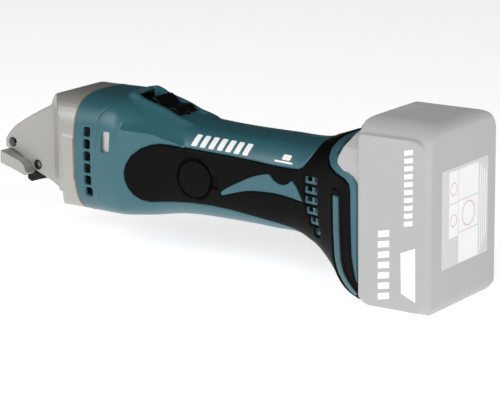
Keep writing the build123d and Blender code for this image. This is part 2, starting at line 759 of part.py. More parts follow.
def pack_pocket():
    """Space behind the rear wall where the battery's rails slide."""
    wide_half = RAIL_HALF + RAIL_GAP
    narrow_half = NECK_HALF + RAIL_GAP
    step_x = RAIL_X[1] + 0.3
    wide = block(REAR_WALL_X[1], step_x, -wide_half, wide_half, POCKET_FLOOR, FAR)
    narrow = block(step_x, 0.0, -narrow_half, narrow_half, POCKET_FLOOR, FAR)
    return joined(wide, narrow)


def rounded_slot(x_middle, z_middle, width, height):
    """Left-hand slot with round ends through the wall."""
    with BuildPart() as slot:
        with BuildSketch(Plane.XZ.offset(20.0)):
            with Locations((x_middle, z_middle)):
                RectangleRounded(width, height, min(width, height) / 2 - 0.1)
        extrude(amount=40.0)
    return slot.part


def body_openings():
    """Vents, window and holes of the left half."""
    front = [rounded_slot(*middle, 4.6, 6.6) for middle in FRONT_VENTS]
    rear = [rounded_slot(*middle, 9.0, 4.4) for middle in REAR_VENTS]
    window = rounded_slot(*WINDOW, 6.0, 13.4)
    cover_hole = rod_y(-FAR, COVER_INNER_Y, COVER_R, COVER)
    return [*front, *rear, window, cover_hole]


def make_half_housing():
    """Left half of the clamshell before its screw holes."""
    rear_cut = side_plate([*REAR_EDGE, (CLEAR, -FAR), (CLEAR, 60.0)], -FAR, FAR)
    knob_pocket = block(*POCKET_X, -KNOB_HALF - 0.6, CLEAR, KNOB_FLOOR, FAR)
    stem_slot = block(STEM_X[0] - KNOB_TRAVEL - 0.6, STEM_X[1] + 0.4, -2.4, CLEAR, CLEAR, 40.0)
    terminal_hole = block(
        REAR_WALL_X[0] - 1.0, REAR_WALL_X[1] + 1.0, -TERMINAL_BLOCK_HALF, TERMINAL_BLOCK_HALF,
        *TERMINAL_BLOCK_Z,
    )
    shell = joined(half_body(BODY_SECTIONS, 0.0), side_plate(PAD_SIDE, -PAD_HALF, 0.0))
    return cut(
        shell, make_cavity(), make_grip_skin(), rear_cut, pack_pocket(), knob_pocket, stem_slot,
        terminal_hole, *body_openings(),
    )


def make_housing_screws():
    """Six screws from the right side, one in each boss."""
    solids = []
    for centre in SCREWS:
        solids.append(rod_y(BODY_SCREW_TIP, BODY_SCREW_SEAT, SCREW_R, centre))
        solids.append(rod_y(BODY_SCREW_SEAT, BODY_SCREW_SEAT + 2.2, SCREW_HEAD_R, centre))
    return joined(*solids)


def make_brush_cover():
    """Left round cover, flush with the rubber, with a turning slot."""
    with BuildPart() as disc:
        add(half_body(BODY_SECTIONS, SKIN_PROUD))
        add(rod_y(-FAR, COVER_INNER_Y, COVER_R, COVER), mode=Mode.INTERSECT)
        add(half_body(BODY_SECTIONS, -WALL), mode=Mode.SUBTRACT)
    notch = block(COVER[0] + 7.0, COVER[0] + 10.5, -FAR, -26.2, COVER[1] - 1.2, COVER[1] + 1.2)
    return cut(disc.part, notch)


# ---- switch ----
KNOB_SIDE = [
    (-222.0, KNOB_FLOOR + 0.3), (-222.0, 38.0), (-219.0, 40.2), (-211.0, 40.2), (-204.0, 38.0),
    (-197.0, 35.4), (-188.0, 33.8), (-188.0, KNOB_FLOOR + 0.3),
]
KNOB_GROOVES = (-218.0, -216.0, -214.0, -212.0)
LINK_Z = (20.2, 22.2)
LINK_REAR = -134.0
SWITCH_CASE = (-148.0, -122.0, -8.0, 8.0, 3.0, 19.8)
CONTROLLER_CASE = (-146.0, -106.0, -15.0, 15.0, -26.0, -12.0)
FIN_COUNT = 8
FIN_PITCH = 5.0


def make_switch_knob():
    """Sliding thumb knob with its stem."""
    knob = side_plate(KNOB_SIDE, -KNOB_HALF, KNOB_HALF)
    grooves = [block(x, x + 1.0, -FAR, FAR, 39.4, 42.0) for x in KNOB_GROOVES]
    stem = block(*STEM_X, -2.0, 2.0, LINK_Z[1], KNOB_FLOOR + 0.4)
    return cut(joined(knob, stem), *grooves)


def make_switch_link():
    """Flat bar from the knob's stem back to the switch."""
    return block(STEM_X[0], LINK_REAR, -2.5, 2.5, *LINK_Z)


def make_switch_body():
    """Enclosed trigger switch under the link."""
    tabs = [block(x, x + 3.0, -5.0, 5.0, -1.0, SWITCH_CASE[4]) for x in (-145.0, -128.0)]
    return joined(block(*SWITCH_CASE), *tabs)


def make_controller():
    """Potted speed controller with fins."""
    fins = []
    for n in range(FIN_COUNT):
        x = CONTROLLER_CASE[0] + 2.0 + FIN_PITCH * n
        fins.append(block(x, x + 1.5, -13.0, 13.0, CONTROLLER_CASE[5], -9.5))
    return joined(block(*CONTROLLER_CASE), *fins)


def make_terminal_block():
    """Moulded carrier of the terminals, held in the rear wall."""
    body = block(-74.0, REAR_WALL_X[0], -14.0, 14.0, -32.0, -13.0)
    plate = block(*REAR_WALL_X, -TERMINAL_BLOCK_HALF, TERMINAL_BLOCK_HALF, *TERMINAL_BLOCK_Z)
    return joined(body, plate)


def make_terminal_blades():
    """Two flat blades that enter the battery."""
    return joined(*[
        block(REAR_WALL_X[1], -57.0, side * TERMINAL_Y - 0.4, side * TERMINAL_Y + 0.4, *TERMINAL_Z)
        for side in (-1, 1)
    ])


WIRE_R = 1.1
POWER_Y = 9.0
SIGNAL_Y = 4.0
POWER_RUN = [(-74.0, -20.0), (-86.0, -20.0), (-94.0, -15.0), (-106.0, -15.0)]
SIGNAL_RUN = [(-106.0, -20.0), (-99.0, -20.0), (-99.0, 10.0), (-122.0, 10.0)]
WIRE_RUNS = [
    [(x, side * y, z) for x, z in run]
    for y, run in ((POWER_Y, POWER_RUN), (SIGNAL_Y, SIGNAL_RUN))
    for side in (-1, 1)
]


def make_wires():
    """Leads between the terminals, the controller and the switch."""
    leads = []
    for points in WIRE_RUNS:
        with BuildPart() as lead:
            with BuildLine() as path:
                FilletPolyline(*points, radius=2.4)
            with BuildSketch(Plane(origin=path.line @ 0, z_dir=path.line % 0)):
                Circle(WIRE_R)
            sweep()
        leads.append(lead.part)
    return joined(*leads)


# ---- battery ----
HUMP_SIDE = [
    (-49.0, 9.0), (-50.0, 10.5), (-52.5, 11.9), (-59.8, 16.3), (-64.5, 20.0), (-65.0, 24.1), (-60.0, 36.0),
    (-53.0, 46.0), (-49.0, 49.0),
]
HUMP_FRONT = [(-36.0, 0.0), (-36.0, 22.0), (-30.0, 35.0), (-20.0, 44.0), (-8.0, 49.0)]
CAVITY_TOP = 36.0
BUTTON_X = (-49.0, -37.0)
BUTTON_HALF = 11.0
BUTTON_FLOOR = 38.0
PACK_SCREWS = [(-30.0, 42.0), (30.0, 42.0)]
PACK_SCREW_TIP = -10.0
HUMP_START = -70.0
CONTACT_X = (-60.0, -51.0)
CELL_ROWS = 5
CELL_COLUMN_Y = 24.0


def pack_hump():
    """Arched nose of the battery above the rails."""
    with BuildPart() as hump:
        with BuildSketch(Plane.YZ.offset(HUMP_START)):
            with BuildLine():
                Polyline(*HUMP_FRONT, *[(-y, z) for y, z in reversed(HUMP_FRONT)], close=True)
            make_face()
        extrude(amount=PACK_X[1] - HUMP_START)
        add(side_plate(HUMP_SIDE, -FAR, FAR), mode=Mode.INTERSECT)
    return hump.part


def make_pack_front():
    """Front half of the battery case with its rails and hump."""
    case = block(PACK_X[0], PACK_X[1], -PACK_HALF, PACK_HALF, *PACK_Z)
    rail = block(*RAIL_X, -RAIL_HALF, RAIL_HALF, *RAIL_Z)
    neck = block(RAIL_X[1], PACK_X[0], -NECK_HALF, NECK_HALF, *RAIL_Z)
    inside = block(PACK_X[0] + 2.5, PACK_X[1], -34.5, 34.5, PACK_Z[0] + 2.5, CAVITY_TOP)
    recess = block(BUTTON_X[0] + 1.5, BUTTON_X[1], -BUTTON_HALF, BUTTON_HALF, BUTTON_FLOOR, 60.0)
    slots = [
        block(HUMP_START, CONTACT_X[1], side * TERMINAL_Y - 1.6, side * TERMINAL_Y + 1.6, -60.0, -12.0)
        for side in (-1, 1)
    ]
    screws = [rod_x(PACK_X[0], PACK_X[1], SCREW_R, y, z) for y, z in PACK_SCREWS]
    floor = PACK_X[0] + SCREW_HEAD_HEIGHT
    heads = [rod_x(HUMP_START, floor, SCREW_HEAD_R, y, z) for y, z in PACK_SCREWS]
    return cut(joined(case, rail, neck, pack_hump()), inside, recess, *slots, *screws, *heads)


def make_pack_rear():
    """Rear half of the battery case with rounded edges."""
    with BuildPart() as case:
        add(block(PACK_X[1], PACK_X[2], -PACK_HALF, PACK_HALF, *PACK_Z))
        fillet(case.faces().sort_by(Axis.X)[-1].edges(), radius=8.0)
        add(block(PACK_X[1], -4.0, -33.5, 33.5, PACK_Z[0] + 4.0, CAVITY_TOP), mode=Mode.SUBTRACT)
        for y, z in PACK_SCREWS:
            add(rod_x(PACK_X[1], PACK_SCREW_TIP, SCREW_R, y, z), mode=Mode.SUBTRACT)
    return case.part


def cell_centres():
    """(X, Z) of the ten cells."""
    return [(x, CELL_BOTTOM_Z + CELL_PITCH * row) for x in CELL_X for row in range(CELL_ROWS)]


def make_cells():
    """Ten round cells lying across the pack."""
    solids = []
    for centre in cell_centres():
        solids.append(rod_y(-CELL_LENGTH / 2, CELL_LENGTH / 2 - 1.0, CELL_R, centre))
        solids.append(rod_y(CELL_LENGTH / 2 - 1.0, CELL_LENGTH / 2, 3.0, centre))
    return joined(*solids)


def make_cell_holder():
    """Two moulded combs that hold the cells apart."""
    combs = []
    for middle in (-CELL_COLUMN_Y, CELL_COLUMN_Y):
        comb = block(-44.0, -4.5, middle - 2.5, middle + 2.5, PACK_Z[0] + 4.2, CAVITY_TOP - 0.5)
        holes = [rod_y(-FAR, FAR, CELL_R, centre) for centre in cell_centres()]
        combs.append(cut(comb, *holes))
    return joined(*combs)


def make_pack_board():
    """Protection circuit board in front of the cells."""
    board = block(-46.6, -45.0, -25.0, 25.0, -55.0, 28.0)
    chips = []
    for y in (-18.0, -4.0, 12.0):
        for z in (-3.4, 15.0):
            chips.append(block(-45.0, -44.2, y, y + 6.0, z, z + 6.0))
    return joined(board, *chips)


def make_pack_contacts():
    """Spring leaves either side of each terminal blade."""
    leaves = []
    for side in (-1, 1):
        for leaf in (-1, 1):
            y = side * TERMINAL_Y + leaf * 1.1
            leaves.append(block(*CONTACT_X, y - 0.4, y + 0.4, *TERMINAL_Z))
    return joined(*leaves)


def make_pack_screws():
    """Two screws that close the battery case."""
    solids = []
    for y, z in PACK_SCREWS:
        seat = PACK_X[0] + SCREW_HEAD_HEIGHT
        solids.append(rod_x(seat, PACK_SCREW_TIP, SCREW_R, y, z))
        solids.append(rod_x(PACK_X[0], seat, SCREW_HEAD_R, y, z))
    return joined(*solids)


BUTTON_Z = (44.0, 48.7)
BUTTON_GROOVES = 4


def make_latch_button():
    """Release button in the top of the battery."""
    x_from, x_to = BUTTON_X[0] + 1.8, BUTTON_X[1] - 0.3
    button = block(x_from, x_to, -BUTTON_HALF + 0.3, BUTTON_HALF - 0.3, *BUTTON_Z)
    for n in range(BUTTON_GROOVES):
        x = x_from + 2.0 * (n + 1)
        button = cut(button, block(x, x + 0.9, -7.0, 7.0, 48.1, 50.0))
    return button


def make_latch_spring():
    """Coil spring under the release button."""
    with BuildPart() as coil:
        with BuildLine() as path:
            Helix(1.4, 4.8, 2.6, center=(-42.4, 0, BUTTON_FLOOR + 0.5))
        with BuildSketch(Plane(origin=path.line @ 0, z_dir=path.line % 0)):
            Circle(0.35)
        sweep()
    return coil.part


# ---- build every piece ----
skin = make_grip_skin()
half_housing = make_half_housing()
cover = make_brush_cover()
openings = body_openings()
boss_holes = [rod_y(BODY_SCREW_TIP, 0.0, SCREW_R, centre) for centre in SCREWS]
through_holes = [rod_y(0.0, BODY_SCREW_SEAT, SCREW_R, centre) for centre in SCREWS]
head_holes = [rod_y(BODY_SCREW_SEAT, FAR, SCREW_HEAD_R, centre) for centre in SCREWS]
left_skin = cut(skin, *openings)

pieces["gear_housing"] = make_gear_housing()
pieces["bearing_plate"] = make_bearing_plate()
pieces["plate_screws"] = make_plate_screws()
pieces["housing_gasket"] = make_gasket()
pieces["yoke"] = make_yoke()
pieces["yoke_bolt"] = make_yoke_bolt()
pieces["clearance_screw"] = make_clearance_screw()
pieces["lower_blade"] = make_lower_blade()
pieces["lower_blade_bolt"] = make_lower_blade_bolt()
pieces["blade_lever"] = make_blade_lever()
pieces["upper_blade"] = make_upper_blade()
pieces["upper_blade_bolt"] = make_upper_blade_bolt()
pieces["lever_pin"] = make_lever_pin()
pieces["pinion"] = make_pinion()
pieces["crank_gear"] = make_crank_gear()
pieces["crankshaft"] = make_crankshaft()
pieces["needle_bearing"] = make_needle_bearing()
pieces["crank_front_bearing"] = bearing(*FRONT_BEARING_X, BIG_BEARING_R, CRANK_R + RUN_FIT, z=CRANK_Z)
pieces["crank_rear_bearing"] = bearing(
    PLATE_X[0], PLATE_X[0] + SMALL_BEARING_WIDTH, BEARING_R, SHAFT_R + RUN_FIT, z=CRANK_Z
)
pieces["motor_front_bearing"] = bearing(
    PLATE_X[1] - SMALL_BEARING_WIDTH, PLATE_X[1], BEARING_R, SHAFT_R + RUN_FIT
)
pieces["motor_rear_bearing"] = bearing(*REAR_BEARING_X, BIG_BEARING_R, SHAFT_R + RUN_FIT)
pieces["motor_shaft"] = make_motor_shaft()
pieces["motor_can"] = make_motor_can()
pieces["motor_magnets"] = make_motor_magnets()
pieces["armature_core"] = make_armature_core()
pieces["armature_windings"] = make_windings()
pieces["commutator"] = make_commutator()
pieces["fan"] = make_fan()
pieces["motor_end_cap"] = make_motor_end_cap()
pieces["brush_holders"] = both_sides(left_brush_holder)
pieces["carbon_brushes"] = both_sides(left_brush)
pieces["brush_springs"] = both_sides(left_brush_spring)
pieces["brush_cover_left"] = cover
pieces["brush_cover_right"] = mirrored(cover)
pieces["housing_left"] = cut(half_housing, *boss_holes)
pieces["housing_right"] = cut(mirrored(half_housing), *through_holes, *head_holes)
pieces["grip_left"] = left_skin
pieces["grip_right"] = cut(mirrored(left_skin), *head_holes)
pieces["housing_screws"] = make_housing_screws()
pieces["switch_knob"] = make_switch_knob()
pieces["switch_link"] = make_switch_link()
pieces["switch_body"] = make_switch_body()
pieces["controller"] = make_controller()
pieces["terminal_block"] = make_terminal_block()
pieces["terminal_blades"] = make_terminal_blades()
pieces["wires"] = make_wires()
pieces["battery_front_case"] = make_pack_front()
pieces["battery_rear_case"] = make_pack_rear()
pieces["battery_cells"] = make_cells()
pieces["cell_holder"] = make_cell_holder()
pieces["battery_board"] = make_pack_board()
pieces["battery_contacts"] = make_pack_contacts()
pieces["battery_screws"] = make_pack_screws()
pieces["latch_button"] = make_latch_button()
pieces["latch_spring"] = make_latch_spring()

os.makedirs("parts", exist_ok=True)
for name, piece in pieces.items():
    piece.label = name
    export_step(piece, f"parts/{name}.step")
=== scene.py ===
"""Looks of a cordless straight metal shear with a slide-on battery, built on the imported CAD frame."""
from math import cos, pi, radians, sin

import bmesh
import bpy
import numpy as np
from mathutils import Matrix, Vector


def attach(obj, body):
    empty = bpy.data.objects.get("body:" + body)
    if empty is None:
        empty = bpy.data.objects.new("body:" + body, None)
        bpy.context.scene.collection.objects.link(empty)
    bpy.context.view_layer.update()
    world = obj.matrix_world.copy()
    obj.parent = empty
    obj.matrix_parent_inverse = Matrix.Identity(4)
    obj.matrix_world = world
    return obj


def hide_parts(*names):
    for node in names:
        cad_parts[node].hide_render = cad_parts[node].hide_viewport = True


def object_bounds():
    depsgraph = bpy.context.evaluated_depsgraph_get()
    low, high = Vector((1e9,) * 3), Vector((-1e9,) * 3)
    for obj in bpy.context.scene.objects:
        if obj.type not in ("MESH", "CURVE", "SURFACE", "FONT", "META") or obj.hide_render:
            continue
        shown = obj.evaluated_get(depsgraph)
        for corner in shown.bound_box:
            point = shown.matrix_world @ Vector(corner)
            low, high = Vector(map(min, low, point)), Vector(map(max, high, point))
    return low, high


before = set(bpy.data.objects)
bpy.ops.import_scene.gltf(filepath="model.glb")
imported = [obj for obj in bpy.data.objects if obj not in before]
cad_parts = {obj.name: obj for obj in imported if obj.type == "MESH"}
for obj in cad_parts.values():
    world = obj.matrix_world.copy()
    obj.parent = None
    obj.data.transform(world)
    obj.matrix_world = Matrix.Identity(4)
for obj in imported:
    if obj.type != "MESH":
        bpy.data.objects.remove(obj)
cad_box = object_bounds()

MM = 0.001

# ---- driving dimensions, in millimetres in the shared frame ----
# Body sections: X, half width, top, bottom, squareness (2 is an ellipse), share of the handle's facets.
BODY_SECTIONS = np.array([
    (-262.0, 35.0, 38.3, -38.6, 3.4, 0.0),
    (-247.0, 35.3, 38.5, -38.8, 3.4, 0.0),
    (-236.0, 35.4, 38.4, -38.8, 3.4, 0.0),
    (-231.0, 35.3, 37.9, -38.6, 3.3, 0.0),
    (-227.0, 34.5, 36.8, -38.2, 3.2, 0.1),
    (-214.0, 31.2, 33.2, -36.9, 2.9, 0.7),
    (-203.0, 28.6, 29.8, -35.0, 2.8, 1.0),
    (-194.0, 27.5, 28.3, -33.6, 2.8, 1.0),
    (-186.0, 27.1, 27.6, -32.9, 2.8, 1.0),
    (-160.0, 26.5, 26.3, -32.3, 2.8, 1.0),
    (-125.0, 26.5, 26.0, -32.8, 2.8, 1.0),
    (-100.0, 27.0, 26.2, -34.5, 2.8, 1.0),
    (-88.0, 28.6, 28.0, -39.5, 3.0, 0.4),
    (-76.0, 31.8, 31.5, -48.5, 3.4, 0.0),
    (-64.0, 36.0, 35.0, -58.5, 4.2, 0.0),
    (-50.0, 38.6, 37.0, -63.4, 5.0, 0.0),
])
FACET_ANGLE = radians(39.5)
FACET_REACH = 30.2
CROWN_ANGLE = radians(79.5)
CROWN_REACH = 29.6
FACET_SHARP = 16.0
HEAD_REAR = -262.8
WALL = 2.2
GRID_ALONG = 1.1
GRID_ACROSS = 108
SECTION_SAMPLES = 1200
SEAM_GAP = 0.06
FAR = 90.0

# Rubber skin: how far it stands out, its round edge, the floor under it and its raised details.
GRIP_PROUD = 0.8
GRIP_SUNK = 0.3
EDGE_ROUND = 0.9
GRIP_INNER = -1.4
BORDER_RISE = 0.9
DIMPLE_RISE = 0.55
DIMPLE_R = 1.2
DIMPLE_EDGE = 0.9
PIP_R = 0.7
RING_GAP = 0.45
REAR_EDGE = [
    (-84.0, 60.0), (-75.0, 40.0), (-68.6, 31.0), (-69.4, 25.4), (-67.2, 21.4), (-62.5, 18.8), (-57.0, 16.8),
    (-52.6, 13.8), (-50.6, 10.0), (-50.4, 0.0), (-50.4, -47.5), (-50.4, -FAR),
]
RIM_EDGE = [
    (-92.0, 60.0), (-80.0, 40.0), (-74.2, 31.4), (-76.2, 26.0), (-75.4, 20.8), (-72.0, 17.0), (-66.5, 14.4),
    (-59.2, 12.4), (-55.6, 9.6), (-54.8, 5.0), (-54.5, -14.2), (-53.7, -33.3), (-52.0, -44.0),
    (-50.6, -50.0),
    (-50.0, -FAR),
]
COVER = (-174.2, -5.0)
COVER_R = 12.3
COLLAR_LINE = np.array([
    (-243.0, 26.0), (-237.6, 37.6), (-235.0, 40.4), (-231.0, 41.2), (-227.5, 39.8), (-223.5, 37.6),
    (-216.0, 35.4),
    (-208.0, 33.4), (-203.0, 31.6), (-197.0, 29.2), (-190.0, 27.6), (-185.0, 26.0), (-179.0, 21.0),
])
COLLAR_HALF = 12.6
COLLAR_SLOPE = 0.8
COLLAR_BLEND = 0.9
COLLAR_CORNER = (-226.0, 7.0, 0.004)
SHOULDER_Z = 8.0
# Switch opening: middle, half length, half width; and the slot for the knob's stem.
POCKET = (-210.6, 21.0, 10.4)
POCKET_CORNER = 3.0
POCKET_FLOOR = 28.4
STEM_SLOT_LOW = (-211.8, -2.4)
STEM_SLOT_HIGH = (-197.4, 2.4)

# ---- numbers for the camera and the lights ----
LOOK_AT = Vector((-151.9, 0.0, -20.8)) * MM
CAMERA_AZIMUTH = radians(35.3)
CAMERA_ELEVATION = radians(14.2)
CAMERA_ROLL = radians(-0.67)
CAMERA_DISTANCE = 1.416
CAMERA_LENS = 165.6
SENSOR = 36.0


# ---------------------------------------------------------------- outlines and fields
def segment_distance(x, z, start, end):
    """Distance from points to a segment."""
    along = np.array(end, float) - start
    t = ((x - start[0]) * along[0] + (z - start[1]) * along[1]) / max(along @ along, 1e-9)
    t = np.clip(t, 0, 1)
    return np.hypot(x - start[0] - t * along[0], z - start[1] - t * along[1])


def line_field(points, x, z):
    """Distance to an open polyline."""
    points = np.array(points, float)
    return np.min([segment_distance(x, z, a, b) for a, b in zip(points[:-1], points[1:])], axis=0)


def outline_field(points, x, z):
    """Signed distance to a closed outline, negative inside."""
    points = np.array(points, float)
    best = np.full(x.shape, 1e9)
    inside = np.zeros(x.shape, bool)
    for a, b in zip(points, np.roll(points, -1, axis=0)):
        best = np.minimum(best, segment_distance(x, z, a, b))
        crosses = (a[1] > z) != (b[1] > z)
        rise = b[1] - a[1] if b[1] != a[1] else 1e-9
        inside ^= crosses & (x < (b[0] - a[0]) * (z - a[1]) / rise + a[0])
    return np.where(inside, -best, best)


def slot_field(x, z, centre, size, corner, lean=0.0):
    """Signed distance to a rounded rectangle whose top leans forward."""
    px = np.abs(x - centre[0] + lean * (z - centre[1])) - size[0] / 2 + corner
    pz = np.abs(z - centre[1]) - size[1] / 2 + corner
    outside = np.hypot(np.maximum(px, 0), np.maximum(pz, 0))
    return outside + np.minimum(np.maximum(px, pz), 0) - corner


def disc_field(x, z, centre, radius):
    """Signed distance to a disc."""
    return np.hypot(x - centre[0], z - centre[1]) - radius


def ease(t):
    """Smooth step from 0 to 1."""
    t = np.clip(t, 0, 1)
    return t * t * (3 - 2 * t)


# ---- side outlines (X, Z) ----
def grip_outline():
    """Edge of the rubber on the side of the body, closed behind the flange."""
    upper = [
        (-86.0, 60.0), (-86.4, 29.0), (-88.6, 22.4), (-91.9, 16.8), (-95.0, 12.7), (-98.2, 10.9),
        (-103.5, 10.5),
        (-115.4, 10.7), (-136.5, 12.0), (-165.0, 13.0), (-193.0, 14.1), (-199.5, 14.1),
    ]
    nose = [
        (-205.8, 12.9), (-212.8, 9.9), (-218.9, 5.0), (-222.4, -0.6), (-223.8, -5.7), (-223.5, -10.8),
        (-221.6, -16.0), (-218.7, -20.3), (-214.4, -23.3), (-208.4, -24.4),
    ]
    lower = [
        (-200.0, -23.4), (-190.0, -22.2), (-177.0, -21.2), (-164.0, -20.9), (-149.3, -21.7),
        (-131.6, -23.6),
        (-118.0, -25.2), (-106.0, -27.6), (-98.0, -30.4), (-93.0, -35.0), (-91.0, -45.0), (-90.0, -FAR),
    ]
    return upper + nose + lower + RIM_EDGE[::-1]


CRESCENT_CORNERS = [
    [(-153.6, -12.4), (-154.4, -10.4), (-147.0, -5.8), (-138.4, -1.4), (-130.0, 2.4), (-121.6, 4.7),
     (-118.7, 5.0)],
    [(-118.7, 5.0), (-117.2, 3.2), (-114.6, 1.0), (-110.5, -0.3), (-106.3, 0.5), (-103.6, 2.4),
     (-102.4, 3.2)],
    [(-102.4, 3.2), (-99.1, 0.1), (-96.2, -4.7), (-94.4, -8.2)],
    [(-94.4, -8.2), (-98.4, -7.6), (-107.7, -6.4), (-116.0, -5.8), (-128.6, -6.3), (-138.6, -7.9),
     (-153.6, -12.4)],
]
DIMPLES = [
    (-141.7, -12.9), (-132.4, -11.1), (-122.8, -9.9), (-113.1, -10.4), (-100.5, -12.4),
    (-135.0, -18.3), (-126.4, -16.6), (-117.5, -15.9), (-106.8, -16.8), (-96.5, -18.8),
]
STRIPE = [(-65.2, 0.6), (-64.8, -18.0), (-63.8, -37.0), (-62.2, -44.0), (-59.0, -50.0), (-54.5, -55.5)]
STRIPE_HALF = 2.7
PIPS = [(-65.1, -5.5), (-64.8, -18.0), (-64.3, -30.5), (-62.6, -42.0)]
BORDER_HALF = 5.2
GROOVE = [
    (-236.0, 36.0), (-240.5, 31.5), (-243.4, 27.6), (-244.3, 23.0), (-244.5, 10.0), (-245.2, 1.0),
    (-245.0, -10.0),
    (-245.2, -18.0), (-243.5, -28.0),
]
FRONT_VENTS = [(-252.1, 16.8 - 7.78 * row) for row in range(6)]
FRONT_VENT_LEANS = [0.0, 0.0, 0.0, -0.04, -0.08, -0.14]
FRONT_VENT_SIZE = (5.6, 6.3)
REAR_VENT_HEIGHT = 4.5
REAR_VENT_LEAN = -0.12
REAR_VENTS = [(-87.7, 5.8), (-87.6, -0.3), (-87.5, -6.4), (-86.8, -12.7), (-84.9, -18.6), (-82.6, -24.9)]
REAR_VENT_WIDTHS = [10.0, 10.2, 10.4, 9.6, 7.8, 4.6]
WINDOW = (-237.3, 11.9)


def crescent_outline():
    """The teal crescent's outline: curves between its corners."""
    out = []
    for run in CRESCENT_CORNERS:
        p = np.array([run[0], *run, run[-1]], float)
        for a, b, c, d in zip(p[:-3], p[1:-2], p[2:-1], p[3:]):
            for t in np.arange(0, 1, 0.25):
                bend = (2 * a - 5 * b + 4 * c - d) * t**2 + (3 * b - a - 3 * c + d) * t**3
                out.append(0.5 * (2 * b + (c - a) * t + bend))
    return np.array(out)


CRESCENT = crescent_outline()


def front_vents_field(x, z):
    """Negative inside the six vents beside the motor's fan."""
    rows = zip(FRONT_VENTS, FRONT_VENT_LEANS)
    return np.min([slot_field(x, z, c, FRONT_VENT_SIZE, 1.4, lean) for c, lean in rows], axis=0)


def rear_vents_field(x, z):
    """Negative inside the vents of the rear flange."""
    rows = zip(REAR_VENTS, REAR_VENT_WIDTHS)
    slots = [slot_field(x, z, c, (width, REAR_VENT_HEIGHT), 0.8, REAR_VENT_LEAN) for c, width in rows]
    return np.min(slots, axis=0)


def window_field(x, z):
    """Negative inside the side window."""
    return slot_field(x, z, WINDOW, (6.7, 13.4), 1.3, -0.04)


def rear_field(x, z):
    """Negative in front of the body's rear edge."""
    return outline_field([*REAR_EDGE, (-400.0, -FAR), (-400.0, 60.0)], x, z)


def grip_field(x, z):
    """Negative inside the rubber's edge."""
    return outline_field(grip_outline(), x, z)


def tab_field(x, z):
    """Small square key beside the round cover."""
    return slot_field(x, z, (COVER[0] + COVER_R + 2.2, COVER[1] - 0.6), (5.4, 6.4), 0.6)


# ---------------------------------------------------------------- sheets on the body
def hermite(x, table, column):
    """Smooth interpolation of one column of a table over its first column."""
    xs, ys = table[:, 0], table[:, column]
    slopes = np.gradient(ys, xs)
    i = np.clip(np.searchsorted(xs, x) - 1, 0, len(xs) - 2)
    h = xs[i + 1] - xs[i]
    t = (x - xs[i]) / h
    return (
        (2 * t**3 - 3 * t**2 + 1) * ys[i] + (t**3 - 2 * t**2 + t) * h * slopes[i]
        + (3 * t**2 - 2 * t**3) * ys[i + 1] + (t**3 - t**2) * h * slopes[i + 1]
    )


def section_at(x, count):
    """Points evenly spaced down the left side of the section at x."""
    half, top, bottom, power, facets = (hermite(x, BODY_SECTIONS, c) for c in (1, 2, 3, 4, 5))
    rise = (top - bottom) / 2
    angle = pi * (0.5 - np.linspace(0, 1, SECTION_SAMPLES))
    across, up = np.cos(angle), np.sin(angle)
    reach = (np.abs(across / half) ** power + np.abs(up / rise) ** power) ** (-1 / power)
    scale = rise / CROWN_REACH
    planes = [
        across / half,
        up / (rise + 0.1),
        (across * cos(FACET_ANGLE) + up * sin(FACET_ANGLE)) / (FACET_REACH * scale),
        (across * cos(CROWN_ANGLE) + up * sin(CROWN_ANGLE)) / (CROWN_REACH * scale),
    ]
    faceted = sum(np.maximum(plane, 0) ** FACET_SHARP for plane in planes) ** (-1 / FACET_SHARP)
    share = np.clip(facets, 0, 1) * (angle > 0)
    reach = (1 - share) * reach + share * faceted
    y, z = -reach * across, (top + bottom) / 2 + reach * up
    run = np.concatenate([[0], np.cumsum(np.hypot(np.diff(y), np.diff(z)))])
    even = np.linspace(0, run[-1], count)
    return np.interp(even, run, y), np.interp(even, run, z)


def collar_height(x, y):
    """Height of the raised collar round the switch: a rim with sloping sides."""
    line = np.interp(x, COLLAR_LINE[:, 0], COLLAR_LINE[:, 1])
    beyond = np.maximum(np.abs(y) - COLLAR_HALF, 0)
    corner_x, corner_y, drop = COLLAR_CORNER
    front = np.maximum(corner_x - x, 0) * np.maximum(np.abs(y) - corner_y, 0) ** 2 * drop
    return line - COLLAR_SLOPE * beyond * np.minimum(1, beyond / 2.0) - front


def raise_collar(p):
    """Blends the collar into the top of the body."""
    x, z = p[:, 0], p[:, 2]
    pad = collar_height(x, p[:, 1])
    near = (z > SHOULDER_Z) & (x > COLLAR_LINE[0, 0]) & (x < COLLAR_LINE[-1, 0])
    mix = np.clip(0.5 + 0.5 * (pad - z) / COLLAR_BLEND, 0, 1)
    p[:, 2] = np.where(near, z * (1 - mix) + pad * mix + COLLAR_BLEND * mix * (1 - mix), z)


def body_sheet():
    """The left half of the body's outer surface: points, normals and triangles."""
    xs = np.arange(BODY_SECTIONS[0, 0], BODY_SECTIONS[-1, 0] + GRID_ALONG / 2, GRID_ALONG)
    rows = [section_at(x, GRID_ACROSS) for x in xs]
    p = np.array([[(x, y, z) for y, z in zip(*row)] for x, row in zip(xs, rows)])
    shape = p.shape
    flat = p.reshape(-1, 3)
    raise_collar(flat)
    p = flat.reshape(shape)
    n = np.cross(np.gradient(p, axis=1), np.gradient(p, axis=0))
    n[:, 0, 1] = 0
    n[:, -1, 1] = 0
    n /= np.linalg.norm(n, axis=2, keepdims=True)
    i, j = np.meshgrid(np.arange(shape[0] - 1), np.arange(shape[1] - 1), indexing="ij")
    a = (i * shape[1] + j).ravel()
    b, c, d = a + 1, a + shape[1] + 1, a + shape[1]
    tris = np.concatenate([np.stack([a, d, c], 1), np.stack([a, c, b], 1)])
    return flat, n.reshape(-1, 3), tris


